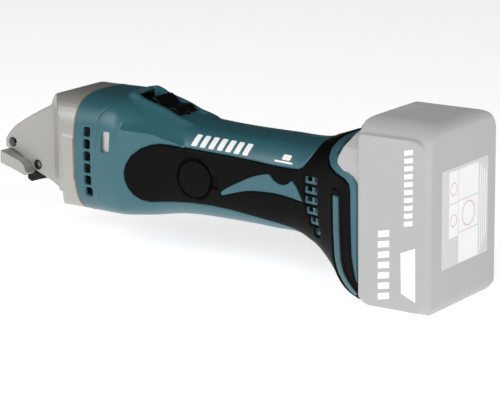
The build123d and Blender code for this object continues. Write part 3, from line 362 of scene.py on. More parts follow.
def split(sheet, values, level):
    """Adds edges to a sheet along the line where a field has one value."""
    p, n, tris = sheet
    v = values - level
    v[np.abs(v) < 1e-4] = 1e-4
    above = v[tris] > 0
    mixed = above.any(1) & ~above.all(1)
    points, normals, made, out = [], [], {}, []

    def cut(a, b):
        key = (min(a, b), max(a, b))
        if key not in made:
            t = v[a] / (v[a] - v[b])
            made[key] = len(p) + len(points)
            points.append(p[a] + t * (p[b] - p[a]))
            mid = n[a] + t * (n[b] - n[a])
            normals.append(mid / np.linalg.norm(mid))
        return made[key]

    for tri, signs in zip(tris[mixed], above[mixed]):
        lone = int(np.argmax(signs == (signs.sum() == 1)))
        a, b, c = tri[lone], tri[(lone + 1) % 3], tri[(lone + 2) % 3]
        ab, ac = cut(a, b), cut(a, c)
        out += [(a, ab, ac), (ab, b, c), (ab, c, ac)]
    if not out:
        return sheet
    return (
        np.concatenate([p, np.array(points)]), np.concatenate([n, np.array(normals)]),
        np.concatenate([tris[~mixed], np.array(out)]),
    )


def trimmed(sheet, field, levels=(0.0,)):
    """Keeps the part of a sheet where the field is negative, with extra edge loops at the levels."""
    for level in levels:
        sheet = split(sheet, field(sheet[0]), level)
    p, n, tris = sheet
    middle = field(p)[tris].mean(1)
    tris = tris[middle < 0]
    used, tris = np.unique(tris, return_inverse=True)
    return p[used], n[used], tris.reshape(-1, 3)


def closed_sheet(sheet, outer, inner):
    """Solid between two offsets of a sheet: its points and faces."""
    p, n, tris = sheet
    count = len(p)
    points = np.concatenate([p + n * outer[:, None], p + n * inner[:, None]])
    edges = {}
    for tri in tris:
        for a, b in ((tri[0], tri[1]), (tri[1], tri[2]), (tri[2], tri[0])):
            if (b, a) in edges:
                del edges[(b, a)]
            else:
                edges[(a, b)] = True
    walls = [(b, a, a + count, b + count) for a, b in edges]
    faces = [tuple(t) for t in tris] + [tuple(t[::-1] + count) for t in tris] + walls
    return points, faces


# ---------------------------------------------------------------- objects
SHEET_ANGLE = 32.0
SOLID_ANGLE = 40.0
CIRCLE_STEPS = 48
CORNER_STEPS = 8


def face_outward(mesh):
    """Turns every face of a closed mesh outward."""
    work = bmesh.new()
    work.from_mesh(mesh)
    bmesh.ops.recalc_face_normals(work, faces=work.faces)
    work.to_mesh(mesh)
    work.free()


def raw_mesh(name, points, faces):
    """Working mesh from points in millimetres, not part of the object until it is finished."""
    mesh = bpy.data.meshes.new(name)
    mesh.from_pydata([tuple(v) for v in np.array(points) * MM], [], [tuple(int(i) for i in f) for f in faces])
    obj = bpy.data.objects.new(name, mesh)
    bpy.context.collection.objects.link(obj)
    return obj


def finish_object(obj, material, body, angle=SHEET_ANGLE):
    """Consistent normals, smooth shading with sharp edges, a material and a body."""
    face_outward(obj.data)
    obj.data.shade_smooth()
    obj.data.set_sharp_from_angle(angle=radians(angle))
    obj.data.materials.clear()
    obj.data.materials.append(material)
    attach(obj, body)
    return obj


def both_sides(name, points, faces, material, body, *nodes):
    """A left-hand solid and its mirrored right-hand twin, each standing for CAD nodes."""
    for side, ending in ((1, "left"), (-1, "right")):
        moved = np.array(points) * (1, side, 1)
        moved[:, 1] -= side * SEAM_GAP
        piece = raw_mesh(f"{name}_{ending}", moved, faces)
        piece.data.validate()
        finish_object(piece, material, body)
        for node in nodes:
            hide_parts(f"{node}_{ending}")


def prism(points, axis, low, high):
    """Working prism with an outline across one axis: 0 gives (Y, Z), 1 gives (X, Z), 2 gives (X, Y)."""
    points = [tuple(p) for p in points]
    corners = []
    for level in (low, high):
        for a, b in points:
            corners.append({0: (level, a, b), 1: (a, level, b), 2: (a, b, level)}[axis])
    count = len(points)
    faces = [tuple(range(count)), tuple(range(2 * count - 1, count - 1, -1))]
    faces += [(i, count + i, count + (i + 1) % count, (i + 1) % count) for i in range(count)]
    obj = raw_mesh("work", corners, faces)
    face_outward(obj.data)
    return obj


def circle(centre, radius):
    """Outline of a circle."""
    angles = [2 * pi * k / CIRCLE_STEPS for k in range(CIRCLE_STEPS)]
    return [(centre[0] + radius * cos(angle), centre[1] + radius * sin(angle)) for angle in angles]


def rounded(low, high, corners):
    """Rectangle with its own radius at each corner: high-high, low-high, low-low, high-low."""
    signs = [(1, 1), (-1, 1), (-1, -1), (1, -1)]
    out = []
    for quarter, ((sx, sy), corner) in enumerate(zip(signs, corners)):
        x = (high[0] if sx > 0 else low[0]) - sx * corner
        y = (high[1] if sy > 0 else low[1]) - sy * corner
        for k in range(CORNER_STEPS + 1):
            angle = pi / 2 * (quarter + k / CORNER_STEPS)
            out.append((x + corner * cos(angle), y + corner * sin(angle)))
    return out


def rectangle(low, high, corner=0.0):
    """Rectangle between two corners, sharp or with one radius at all four."""
    if corner <= 0:
        return [(low[0], low[1]), (high[0], low[1]), (high[0], high[1]), (low[0], high[1])]
    return rounded(low, high, [corner] * 4)


def bake(obj):
    """Applies every modifier."""
    graph = bpy.context.evaluated_depsgraph_get()
    mesh = bpy.data.meshes.new_from_object(obj.evaluated_get(graph))
    obj.modifiers.clear()
    old = obj.data
    obj.data = mesh
    bpy.data.meshes.remove(old)
    return obj


def combine(obj, tool, operation):
    """Boolean with a working solid, which is used up."""
    step = obj.modifiers.new("combine", "BOOLEAN")
    step.operation = operation
    step.object = tool
    step.solver = "EXACT"
    bake(obj)
    bpy.data.objects.remove(tool)
    return obj


def soften(obj, voxel, rounds):
    """Remeshes a solid and rounds its edges, as a casting's or a moulding's are."""
    remesh = obj.modifiers.new("remesh", "REMESH")
    remesh.mode = "VOXEL"
    remesh.voxel_size = voxel * MM
    smooth = obj.modifiers.new("smooth", "SMOOTH")
    smooth.factor = 0.5
    smooth.iterations = rounds
    return bake(obj)


# ---------------------------------------------------------------- materials
GLOSS_SPREAD = 0.06
MOTTLE_SCALE = 60.0
MOTTLE_RANGE = (0.3, 0.7)
RELIEF_DEPTH = 0.0003


def add_noise(nodes, links, place, scale, detail):
    """Noise texture in the object's own coordinates."""
    noise = nodes.new("ShaderNodeTexNoise")
    noise.inputs["Scale"].default_value = scale
    noise.inputs["Detail"].default_value = detail
    links.new(place.outputs["Object"], noise.inputs["Vector"])
    return noise


def surface(
    name, color, roughness, metallic=0.0, grain=900.0, bump=0.15, mottle=0.06, specular=0.5, glow=0.0,
):
    """Procedural finish: mottled colour, uneven gloss,
    a fine grain in the bump and an even veil of light."""
    material = bpy.data.materials.new(name)
    material.use_nodes = True
    nodes, links = material.node_tree.nodes, material.node_tree.links
    shader = nodes["Principled BSDF"]
    place = nodes.new("ShaderNodeTexCoord")
    broad = add_noise(nodes, links, place, MOTTLE_SCALE, 4.0)
    shades = nodes.new("ShaderNodeValToRGB")
    for stop, position, sign in zip(shades.color_ramp.elements, MOTTLE_RANGE, (-1, 1)):
        stop.position = position
        stop.color = (*[min(1, c * (1 + sign * mottle)) for c in color], 1)
    links.new(broad.outputs["Fac"], shades.inputs["Fac"])
    links.new(shades.outputs["Color"], shader.inputs["Base Color"])
    gloss = nodes.new("ShaderNodeMapRange")
    gloss.inputs["To Min"].default_value = roughness - GLOSS_SPREAD
    gloss.inputs["To Max"].default_value = roughness + GLOSS_SPREAD
    links.new(broad.outputs["Fac"], gloss.inputs["Value"])
    links.new(gloss.outputs["Result"], shader.inputs["Roughness"])
    fine = add_noise(nodes, links, place, grain, 3.0)
    relief = nodes.new("ShaderNodeBump")
    relief.inputs["Strength"].default_value = bump
    relief.inputs["Distance"].default_value = RELIEF_DEPTH
    links.new(fine.outputs["Fac"], relief.inputs["Height"])
    links.new(relief.outputs["Normal"], shader.inputs["Normal"])
    shader.inputs["Metallic"].default_value = metallic
    shader.inputs["Specular IOR Level"].default_value = specular
    shader.inputs["Emission Color"].default_value = (1, 1, 1, 1)
    shader.inputs["Emission Strength"].default_value = glow
    return material


TEAL = surface(
    "teal_plastic", (0.032, 0.118, 0.145), 0.36, grain=1500.0, bump=0.12, mottle=0.04, specular=0.45,
)
BLACK_RUBBER = surface("black_rubber", (0.003, 0.003, 0.003), 0.46, grain=1300.0, bump=0.25, specular=0.06)
BLACK_PLASTIC = surface(
    "black_plastic", (0.004, 0.004, 0.004), 0.32, grain=1300.0, bump=0.15, specular=0.18,
)
CAST = surface(
    "cast_alloy", (0.385, 0.378, 0.355), 0.40, metallic=0.35, grain=1100.0, bump=0.3, mottle=0.03,
)
STEEL = surface("machined_steel", (0.50, 0.49, 0.475), 0.30, metallic=0.9, grain=700.0, bump=0.1)
BLADE_STEEL = surface("blade_steel", (0.42, 0.42, 0.43), 0.24, metallic=1.0, grain=900.0, bump=0.1)
DARK_STEEL = surface("dark_steel", (0.035, 0.035, 0.037), 0.38, metallic=0.8, grain=900.0, bump=0.1)
BRIGHT_STEEL = surface("bright_steel", (0.48, 0.48, 0.46), 0.34, metallic=0.55, grain=500.0, bump=0.05)
GASKET = surface("tan_gasket", (0.30, 0.19, 0.10), 0.6, grain=1200.0)
COPPER = surface("copper", (0.55, 0.27, 0.13), 0.32, metallic=1.0)
FERRITE = surface("ferrite", (0.03, 0.03, 0.032), 0.55, grain=900.0, bump=0.3)
# Battery case and latch button glow faintly (glow 0.2): painted light that lifts the pale grey evenly, though
# no lamp is there.
PALE_PAINTED_GLOW = surface("pale_plastic", (0.245, 0.245, 0.243), 0.5, grain=1400.0, bump=0.08, mottle=0.01, glow=0.2)
PRINT_WHITE = surface("white_print", (0.86, 0.86, 0.86), 0.5, mottle=0.02)
PRINT_RED = surface("pale_red_print", (0.70, 0.50, 0.50), 0.5, mottle=0.02)
# The label glows faintly too (glow 0.2): painted light, though no lamp is there.
PAINTED_GLOW_LABEL = surface("label_film_painted_glow", (0.42, 0.42, 0.42), 0.4, mottle=0.02, bump=0.03, glow=0.2)
CELL = surface("cell_sleeve", (0.05, 0.14, 0.30), 0.3)
BOARD = surface("circuit_board", (0.01, 0.10, 0.04), 0.35)
WIRE = surface("wire_insulation", (0.35, 0.01, 0.01), 0.4)


# ---------------------------------------------------------------- teal housing
CRESCENT_GAP = 0.4
CRESCENT_EDGE = 0.3
SHELL_EDGE = (0.7, 0.45)
GROOVE_SIZE = (0.6, 0.5)
CRESCENT_RISE = 0.55
OFF_POCKET = 50.0


def housing_field(p):
    """Negative where the teal shell stays: outside the rubber and the openings."""
    x, z = p[:, 0], p[:, 2]
    rubber = grip_field(x, z)
    crescent = outline_field(CRESCENT, x, z) - CRESCENT_GAP
    shell = np.minimum(np.maximum(-rubber, rear_field(x, z)), crescent)
    shell = np.maximum(shell, -front_vents_field(x, z))
    shell = np.maximum(shell, -window_field(x, z))
    return np.maximum(shell, -pocket_field(p))


def pocket_field(p):
    """Negative inside the switch's opening in the top of the body."""
    middle, half_length, half_width = POCKET
    flat = slot_field(p[:, 0], p[:, 1], (middle, 0.0), (2 * half_length, 2 * half_width), POCKET_CORNER)
    return np.where(p[:, 2] > 15, flat, OFF_POCKET)


def groove_field(p):
    """Distance to the parting groove behind the front vents."""
    return line_field(GROOVE, p[:, 0], p[:, 2])


def make_housing(sheet):
    """Teal clamshell halves with rounded openings and the parting groove."""
    sheet = trimmed(sheet, housing_field, (-0.7, -0.3, 0.0))
    for level in (0.3, 0.7):
        sheet = split(sheet, groove_field(sheet[0]), level)
    points = sheet[0]
    edge_width, edge_drop = SHELL_EDGE
    groove_width, groove_depth = GROOVE_SIZE
    outer = -edge_drop * (1 - ease(-housing_field(points) / edge_width))
    outer -= groove_depth * (1 - ease(groove_field(points) / groove_width))
    crescent = outline_field(CRESCENT, points[:, 0], points[:, 2]) < CRESCENT_EDGE
    outer = np.where(crescent, outer + CRESCENT_RISE, outer)
    points, faces = closed_sheet(sheet, outer, np.full(len(outer), -WALL))
    both_sides("shell", points, faces, TEAL, "tool", "housing")


# ---------------------------------------------------------------- rubber grip
def rubber_field(p):
    """Negative where the rubber skin stays."""
    x, z = p[:, 0], p[:, 2]
    field = np.maximum(grip_field(x, z), -outline_field(CRESCENT, x, z))
    field = np.maximum(field, -(disc_field(x, z, COVER, COVER_R) - RING_GAP))
    field = np.maximum(field, -tab_field(x, z))
    field = np.maximum(field, -rear_vents_field(x, z))
    return np.maximum(field, -stripe_field(p))


def stripe_field(p):
    """Negative inside the bumper's teal strip, which has a square upper end."""
    x, z = p[:, 0], p[:, 2]
    return np.maximum(line_field(STRIPE, x, z) - STRIPE_HALF, z - STRIPE[0][1] - 1.0)


def dimple_field(p):
    """Negative inside the small raised dots of the grip."""
    return np.min([disc_field(p[:, 0], p[:, 2], c, DIMPLE_R) for c in DIMPLES], axis=0)


def border_field(p):
    """Negative inside the raised border round the teal strip."""
    return line_field(STRIPE, p[:, 0], p[:, 2]) - BORDER_HALF


def rubber_height(p):
    """Height of the rubber over the body's surface, with its border, dimples and round edges."""
    field = rubber_field(p)
    height = -GRIP_SUNK + (GRIP_PROUD + GRIP_SUNK) * ease(-field / EDGE_ROUND)
    height += BORDER_RISE * ease(-border_field(p)) * ease(-field / 0.5)
    height += DIMPLE_RISE * ease(-dimple_field(p) / DIMPLE_EDGE)
    return height


def make_grip(sheet):
    """Black rubber halves."""
    sheet = trimmed(sheet, rubber_field, (-0.9, -0.35, 0.0))
    for level in (-1.0, -0.4, 0.0):
        sheet = split(sheet, border_field(sheet[0]), level)
    for level in (-0.6, 0.0):
        sheet = split(sheet, dimple_field(sheet[0]), level)
    outer = rubber_height(sheet[0])
    points, faces = closed_sheet(sheet, outer, np.full(len(outer), GRIP_INNER))
    both_sides("grip_rubber", points, faces, BLACK_RUBBER, "tool", "grip")


def make_cover(sheet):
    """Round service covers over the brushes, in a narrow ring groove."""
    def field(p):
        return disc_field(p[:, 0], p[:, 2], COVER, COVER_R - RING_GAP)

    left = trimmed(sheet, field, (-1.4, -0.7, -0.3, 0.0))
    left = trimmed(left, lambda p: np.where(p[:, 1] < 0, -1.0, 1.0))
    outer = -0.2 + (GRIP_PROUD + 0.2) * ease(-field(left[0]) / 0.7)
    points, faces = closed_sheet(left, outer, np.full(len(outer), -WALL))
    both_sides("cover_disc", points, faces, BLACK_RUBBER, "tool", "brush_cover")


def make_under_skin(sheet):
    """Dark floor under the rubber, seen in its grooves."""
    def field(p):
        x, z = p[:, 0], p[:, 2]
        behind = np.maximum(grip_field(x, z) + 1.5, 1.2 - rear_vents_field(x, z))
        return np.maximum(behind, 1.0 - outline_field(CRESCENT, x, z))

    left = trimmed(sheet, field)
    points, faces = closed_sheet(left, np.full(len(left[0]), -1.5), np.full(len(left[0]), -2.4))
    both_sides("under_skin", points, faces, BLACK_RUBBER, "tool")


def make_vent_ribs(sheet):
    """Teal ribs behind the rear vents, each with a large and a small hole."""
    def field(p):
        x, z = p[:, 0], p[:, 2]
        holes = []
        for (middle_x, middle_z), width in zip(REAR_VENTS, REAR_VENT_WIDTHS):
            large = (middle_x - width * 0.17, middle_z + 0.7)
            small = (middle_x + width * 0.32, middle_z + 0.7)
            holes.append(slot_field(x, z, large, (width * 0.42, 2.9), 0.3, REAR_VENT_LEAN))
            holes.append(slot_field(x, z, small, (width * 0.18, 2.9), 0.3, REAR_VENT_LEAN))
        return np.maximum(rear_vents_field(x, z) - 0.9, -np.min(holes, axis=0))

    left = trimmed(sheet, field)
    points, faces = closed_sheet(left, np.full(len(left[0]), -0.7), np.full(len(left[0]), -2.0))
    both_sides("vent_ribs", points, faces, TEAL, "tool")


def make_stripe(sheet):
    """Teal strip let into the flange's bumper, with small pips."""
    def field(p):
        return stripe_field(p) + 0.25

    def pip_field(p):
        return np.min([disc_field(p[:, 0], p[:, 2], c, PIP_R) for c in PIPS], axis=0)

    left = trimmed(sheet, field, (-0.6, -0.25, 0.0))
    left = split(left, pip_field(left[0]), 0.0)
    outer = 0.5 + 0.7 * ease(-field(left[0]) / 0.6) + 0.35 * ease(-pip_field(left[0]) / PIP_R)
    points, faces = closed_sheet(left, outer, np.full(len(outer), -1.2))
    both_sides("bumper_stripe", points, faces, TEAL, "tool")


PLATE_CORNERS = ((-243.0, 3.0), (-232.0, 22.0))
PLATE_Y = (-32.9, -31.6)


def make_window_plate():
    """Bright metal seen through the side window."""
    plate = prism(rectangle(*PLATE_CORNERS, 2.0), 1, *PLATE_Y)
    soften(plate, 0.35, 3)
    points = np.array([v.co[:] for v in plate.data.vertices]) / MM
    faces = [tuple(f.vertices) for f in plate.data.polygons]
    bpy.data.objects.remove(plate)
    both_sides("window_plate", points, faces, BRIGHT_STEEL, "tool")


# ---------------------------------------------------------------- head
NOSE = [
    (-285.0, 30.0), (-296.2, 26.3), (-306.5, 21.6), (-317.3, 16.0), (-325.0, 11.5), (-331.6, 7.4),
    (-337.6, 1.8),
    (-340.8, -2.8), (-340.9, -8.2), (-334.9, -9.0), (-329.7, -11.0), (-324.3, -14.0), (-319.6, -19.3),
    (-312.3, -22.2), (-306.4, -24.8), (-300.6, -27.2), (-294.9, -30.8), (-285.0, -36.0),
]
HEAD_SIDE = [
    (-262.0, 39.4), (-270.0, 39.0), (-277.0, 37.9), (-286.0, 35.5), (-292.0, 33.3), (-296.5, 30.8),
    (-300.5, 27.4),
    (-302.0, 24.0), (-302.0, -22.0), (-299.0, -27.0), (-296.4, -28.7), (-293.2, -30.8), (-291.4, -35.0),
    (-288.8, -37.6), (-283.0, -38.8), (-262.0, -38.8),
]
HEAD_PLAN = [
    (-262.0, 35.1), (-270.0, 35.0), (-274.6, 34.4), (-277.4, 32.2), (-287.0, 21.0), (-298.2, 10.6),
    (-304.0, 7.0),
]
CHIN_PLAN = [
    (-262.0, 35.1), (-268.0, 34.2), (-272.4, 32.4), (-276.0, 28.6), (-284.0, 19.4), (-294.0, 9.6),
    (-300.0, 5.0),
]
CHIN_TOP = -24.8
SLOT = [
    (-346.0, -1.6), (-338.5, -1.2), (-334.0, 1.6), (-331.0, 4.2), (-318.0, 12.0), (-306.0, 12.0),
    (-302.0, 2.0),
    (-291.0, -2.0), (-291.0, -33.0), (-303.0, -33.0), (-306.0, -60.0), (-346.0, -60.0),
]
SLOT_HALF = 4.6
NOSE_HALF = 10.0
HEAD_HALF = 36.0
PAD_SIDE = [(-273.0, 13.4), (-262.0, 11.8), (-262.0, -15.6), (-271.4, -15.0), (-272.6, 0.0)]
PAD_Y = (31.2, 35.8)
CAST_SOFT = (0.62, 6)

# Holes and bays of the head: the cut starts outside at OPEN_Y on either side.
OPEN_Y = 20.0
BLADE_BOLT = (-334.4, -4.2)
ACCESS_R = 3.4
YOKE_BOLT = (-314.0, -17.0)
BOLT_HOLE = (3.4, -7.6)
COUNTERBORE = (4.7, -9.7)
NUT_HOLE = (4.6, 7.0)
CRANK_Z = -18.0
GEAR_BAY_R = 16.6
PINION_BAY_R = 7.0
BEARING_BAY_R = 8.0
BAY_X = (-301.0, -284.0, -250.0)
PLATE_BAY = ((-29.0, -32.5), (29.0, 32.5))
PLATE_BAY_CORNER = 14.0
PLATE_BAY_X = -268.8
REAR_CUT_X = -240.0


def head_section():
    """Rounded-square outline of the head in (Y, Z)."""
    y, z = section_at(BODY_SECTIONS[0, 0], 40)
    left = list(zip(y, z))
    return left + [(-a, b) for a, b in reversed(left[1:-1])]


def head_tier(half_plan, low, high):
    """Part of the head's core between two heights, under its own plan outline."""
    tier = prism(HEAD_SIDE, 1, -HEAD_HALF, HEAD_HALF)
    plan = half_plan + [(x, -y) for x, y in reversed(half_plan)]
    combine(tier, prism(plan, 2, low, high), "INTERSECT")
    return combine(tier, prism(head_section(), 0, -310.0, -255.0), "INTERSECT")


def make_head():
    """Cast gear housing: rounded core, stepped front, side pads and flat nose."""
    head = head_tier(HEAD_PLAN, CHIN_TOP, FAR)
    combine(head, head_tier(CHIN_PLAN, -FAR, CHIN_TOP + 1.0), "UNION")
    combine(head, prism(NOSE, 1, -NOSE_HALF, NOSE_HALF), "UNION")
    for side in (-1, 1):
        combine(head, prism(PAD_SIDE, 1, *sorted((side * PAD_Y[0], side * PAD_Y[1]))), "UNION")
    soften(head, *CAST_SOFT)
    crank_front, bay_front, bay_rear = BAY_X
    cuts = [
        prism(rectangle((-FAR, -FAR), (FAR, FAR)), 0, HEAD_REAR, REAR_CUT_X),
        prism(circle(YOKE_BOLT, BOLT_HOLE[0]), 1, -OPEN_Y, BOLT_HOLE[1]),
        prism(SLOT, 1, -SLOT_HALF, SLOT_HALF),
        prism(circle(BLADE_BOLT, ACCESS_R), 1, -OPEN_Y, -2.0),
        prism(circle(YOKE_BOLT, COUNTERBORE[0]), 1, -OPEN_Y, COUNTERBORE[1]),
        prism(circle(YOKE_BOLT, NUT_HOLE[0]), 1, NUT_HOLE[1], OPEN_Y),
        prism(circle((0.0, CRANK_Z), GEAR_BAY_R), 0, bay_front, bay_rear),
        prism(circle((0.0, 0.0), PINION_BAY_R), 0, bay_front, bay_rear),
        prism(circle((0.0, CRANK_Z), BEARING_BAY_R), 0, crank_front, bay_front),
        prism(rectangle(*PLATE_BAY, PLATE_BAY_CORNER), 0, PLATE_BAY_X, bay_rear),
    ]
    for tool in cuts:
        combine(head, tool, "DIFFERENCE")
    head.name = "cast_head"
    finish_object(head, CAST, "tool", SOLID_ANGLE)
    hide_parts("gear_housing")


HEEL_SIDE = [
    (-323.0, -19.8), (-319.0, -21.4), (-309.4, -24.4), (-308.6, -25.6), (-313.4, -27.0), (-320.4, -29.2),
    (-323.6, -27.6),
]
HEEL_HALF = 9.2
GRUB_SCREW = (-321.0, -24.2)
GRUB_R = 1.9


def make_heel():
    """Black block round the yoke's heel, open over the grub screw that sets the blades."""
    heel = prism(HEEL_SIDE, 1, -HEEL_HALF, HEEL_HALF)
    soften(heel, 0.3, 3)
    combine(heel, prism(circle(GRUB_SCREW, GRUB_R), 1, -FAR, 0.0), "DIFFERENCE")
    heel.name = "heel_block"
    finish_object(heel, BLACK_PLASTIC, "tool", SOLID_ANGLE)


# ---------------------------------------------------------------- switch knob
KNOB_SIDE = [
    (-220.6, 28.6), (-220.6, 36.2), (-219.6, 38.0), (-216.6, 38.1), (-214.6, 36.6), (-211.8, 33.3),
    (-209.4, 32.6),
    (-202.0, 33.0), (-200.4, 32.0), (-197.6, 28.6),
]
KNOB_HALF = 9.2
KNOB_PLAN = ((-220.6, -KNOB_HALF), (-190.0, KNOB_HALF))
RIBS_X = (-219.0, -217.4)
STEM_LOW = (-204.0, -2.0)
STEM_HIGH = (-198.0, 2.0)
STEM_Z = (22.2, 30.0)


def make_knob():
    """Thumb knob: a raised front hump with ribs and a low tail with a lip."""
    knob = prism(KNOB_SIDE, 1, -KNOB_HALF, KNOB_HALF)
    combine(knob, prism(rectangle(*KNOB_PLAN, 1.6), 2, 0.0, FAR), "INTERSECT")
    soften(knob, 0.33, 5)
    for x in RIBS_X:
        combine(knob, prism(rectangle((x - 0.3, -7.0), (x + 0.3, 7.0), 0.25), 2, 37.6, FAR), "DIFFERENCE")
    combine(knob, prism(rectangle(STEM_LOW, STEM_HIGH), 2, *STEM_Z), "UNION")
    knob.name = "thumb_knob"
    finish_object(knob, BLACK_PLASTIC, "switch", SOLID_ANGLE)
    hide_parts("switch_knob")


BED_BELOW_RIM = 1.3
BED_WALL = 1.4
BED_HALF = 12.0
BED_FOOT = [(-190.0, 25.0), (-231.0, 25.0)]


def make_switch_bed():
    """Walls and floor of the switch opening, with the slot for the knob's stem."""
    middle, half_length, half_width = POCKET
    low, high = (middle - half_length, -half_width), (middle + half_length, half_width)
    side = [(x, z - BED_BELOW_RIM) for x, z in COLLAR_LINE[3:-2]] + BED_FOOT
    bed = prism(side, 1, -BED_HALF, BED_HALF)
    wide_low = (low[0] - BED_WALL, low[1] - BED_WALL)
    wide_high = (high[0] + BED_WALL, high[1] + BED_WALL)
    outer = rectangle(wide_low, wide_high, POCKET_CORNER + BED_WALL)
    combine(bed, prism(outer, 2, 0.0, FAR), "INTERSECT")
    combine(bed, prism(rectangle(low, high, POCKET_CORNER), 2, POCKET_FLOOR, FAR), "DIFFERENCE")
    combine(bed, prism(rectangle(STEM_SLOT_LOW, STEM_SLOT_HIGH, 1.0), 2, 0.0, FAR), "DIFFERENCE")
    bed.name = "switch_bed"
    finish_object(bed, TEAL, "tool", SOLID_ANGLE)


# ---------------------------------------------------------------- battery
PACK_HALF = 38.2
PACK_LOW = (-50.0, -63.9)
PACK_HIGH = (-0.1, 48.9)
SIDE_CORNERS = (6.0, 4.0, 9.0, 9.0)
SECTION_CORNERS = (17.0, 17.0, 11.0, 11.0)
PLAN_CORNERS = (3.4, 3.0, 3.0, 3.4)
PANEL = ((-49.0, -61.0), (-3.6, 40.6))
PANEL_CORNERS = (10.0, 3.0, 8.0, 7.0)
PANEL_DEPTH = 5.0
PANEL_RISE = 0.6
PACK_SOFT = (0.75, 6)
RAIL = ((-64.0, -48.0), (-59.0, 12.0))
RAIL_HALF = 27.0
RAIL_NECK = ((-59.5, -48.0), (-45.0, 12.0))
RAIL_NECK_HALF = 22.0
CELL_ROOM = ((-47.5, -34.5, -60.0), (-4.0, 34.5, 22.0))
TOP_ROOM = ((-47.5, -26.0, 20.0), (-4.0, 26.0, 36.0))
BUTTON_ROOM = ((-47.5, -11.0, 38.0), (-37.0, 11.0, 60.0))
BLADE_SLOT_Y = 12.0
BLADE_SLOT_HALF = 1.6
BLADE_SLOT_X = (-70.0, -51.0)
BLADE_SLOT_Z = (-60.0, -12.0)
HUMP_FRONT = [(-36.4, -8.0), (-36.4, 21.0), (-33.0, 30.0), (-27.0, 37.0), (-18.0, 43.0), (-8.0, 48.9)]
HUMP_SIDE = [
    (-20.0, 8.0), (-49.6, 9.6), (-52.5, 11.9), (-59.8, 16.3), (-64.3, 20.3), (-65.0, 24.1), (-62.0, 31.0),
    (-57.0, 38.5), (-50.0, 45.5), (-44.0, 48.9), (-20.0, 48.9),
]


def hollow(obj, low, high):
    """Cuts a box out of a working solid."""
    tool = prism(rectangle((low[0], low[1]), (high[0], high[1])), 2, low[2], high[2])
    return combine(obj, tool, "DIFFERENCE")


def pack_body():
    """Whole battery case as one soft-edged solid with raised side panels."""
    pack = prism(rounded(PACK_LOW, PACK_HIGH, SIDE_CORNERS), 1, -FAR, FAR)
    half = PACK_HALF - PANEL_RISE
    section = rounded((-half, PACK_LOW[1]), (half, PACK_HIGH[1]), SECTION_CORNERS)
    combine(pack, prism(section, 0, -FAR, FAR), "INTERSECT")
    plan = rounded((PACK_LOW[0], -PACK_HALF), (PACK_HIGH[0], PACK_HALF), PLAN_CORNERS)
    combine(pack, prism(plan, 2, -FAR, FAR), "INTERSECT")
    for side in (-1, 1):
        low, high = sorted((side * (PACK_HALF - PANEL_DEPTH), side * PACK_HALF))
        combine(pack, prism(rounded(*PANEL, PANEL_CORNERS), 1, low, high), "UNION")
    hump = prism(HUMP_SIDE, 1, -FAR, FAR)
    front = HUMP_FRONT + [(-y, z) for y, z in reversed(HUMP_FRONT)]
    combine(hump, prism(front, 0, -70.0, -20.0), "INTERSECT")
    combine(pack, hump, "UNION")
    return soften(pack, *PACK_SOFT)


def make_pack():
    """Pale battery case with its rails, the button's recess and the slots for the tool's blades."""
    pack = pack_body()
    combine(pack, prism(rectangle(*RAIL), 1, -RAIL_HALF, RAIL_HALF), "UNION")
    combine(pack, prism(rectangle(*RAIL_NECK), 1, -RAIL_NECK_HALF, RAIL_NECK_HALF), "UNION")
    for room in (CELL_ROOM, TOP_ROOM, BUTTON_ROOM):
        hollow(pack, *room)
    for side in (-1, 1):
        middle = side * BLADE_SLOT_Y
        low = (BLADE_SLOT_X[0], middle - BLADE_SLOT_HALF, BLADE_SLOT_Z[0])
        high = (BLADE_SLOT_X[1], middle + BLADE_SLOT_HALF, BLADE_SLOT_Z[1])
        hollow(pack, low, high)
    pack.name = "battery_case"
    finish_object(pack, PALE_PAINTED_GLOW, "battery", SOLID_ANGLE)
    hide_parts("battery_front_case", "battery_rear_case")


def plate_group(name, outlines, axis, low, high, material, body):
    """Thin printed shapes, all in one object, on a flat face across an axis."""
    group = prism(outlines[0], axis, low, high)
    for outline in outlines[1:]:
        combine(group, prism(outline, axis, low, high), "UNION")
    group.name = name
    return finish_object(group, material, body)


RING_STEPS = 32


def ring(centre, radius, width):
    """Four-sided strips that make up a thin ring."""
    out = []
    for k in range(RING_STEPS):
        start, end = 2 * pi * k / RING_STEPS, 2 * pi * (k + 0.9) / RING_STEPS
        out.append([
            (centre[0] + r * cos(t), centre[1] + r * sin(t))
            for r, t in ((radius, start), (radius, end), (radius - width, end), (radius - width, start))
        ])
    return out


WIDE_BAR = [(-19.5, -50.0), (-10.0, -54.0), (-10.4, -22.0), (-20.0, -26.0)]
LABEL_AREA = ((-26.0, -36.5), (26.5, 21.5))
LABEL_FIELDS = [
    ((-18.0, 1.0), (-8.0, 19.6)), ((-18.0, -19.4), (-8.0, 0.2)), ((-7.2, 1.5), (15.3, 19.6)),
    ((-7.2, -17.4), (15.3, 0.7)), ((-7.2, -36.0), (15.3, -18.2)),
]
LABEL_RINGS = [((-13.0, 9.0), 4.0, 0.7), ((4.0, -8.4), 7.6, 0.9), ((-13.0, -9.6), 3.8, 0.7)]
LINE_COUNT = 4
LINE_PITCH = 2.3


def bar_column(x_span, z_start, count, pitch, height, lean):
    """Column of slanted bars on the battery's side, as (X, Z) outlines."""
    low, high = x_span
    bars = []
    for k in range(count):
        z = z_start + pitch * k
        bars.append([(low, z), (high, z + lean), (high, z + lean + height), (low, z + height)])
    return bars


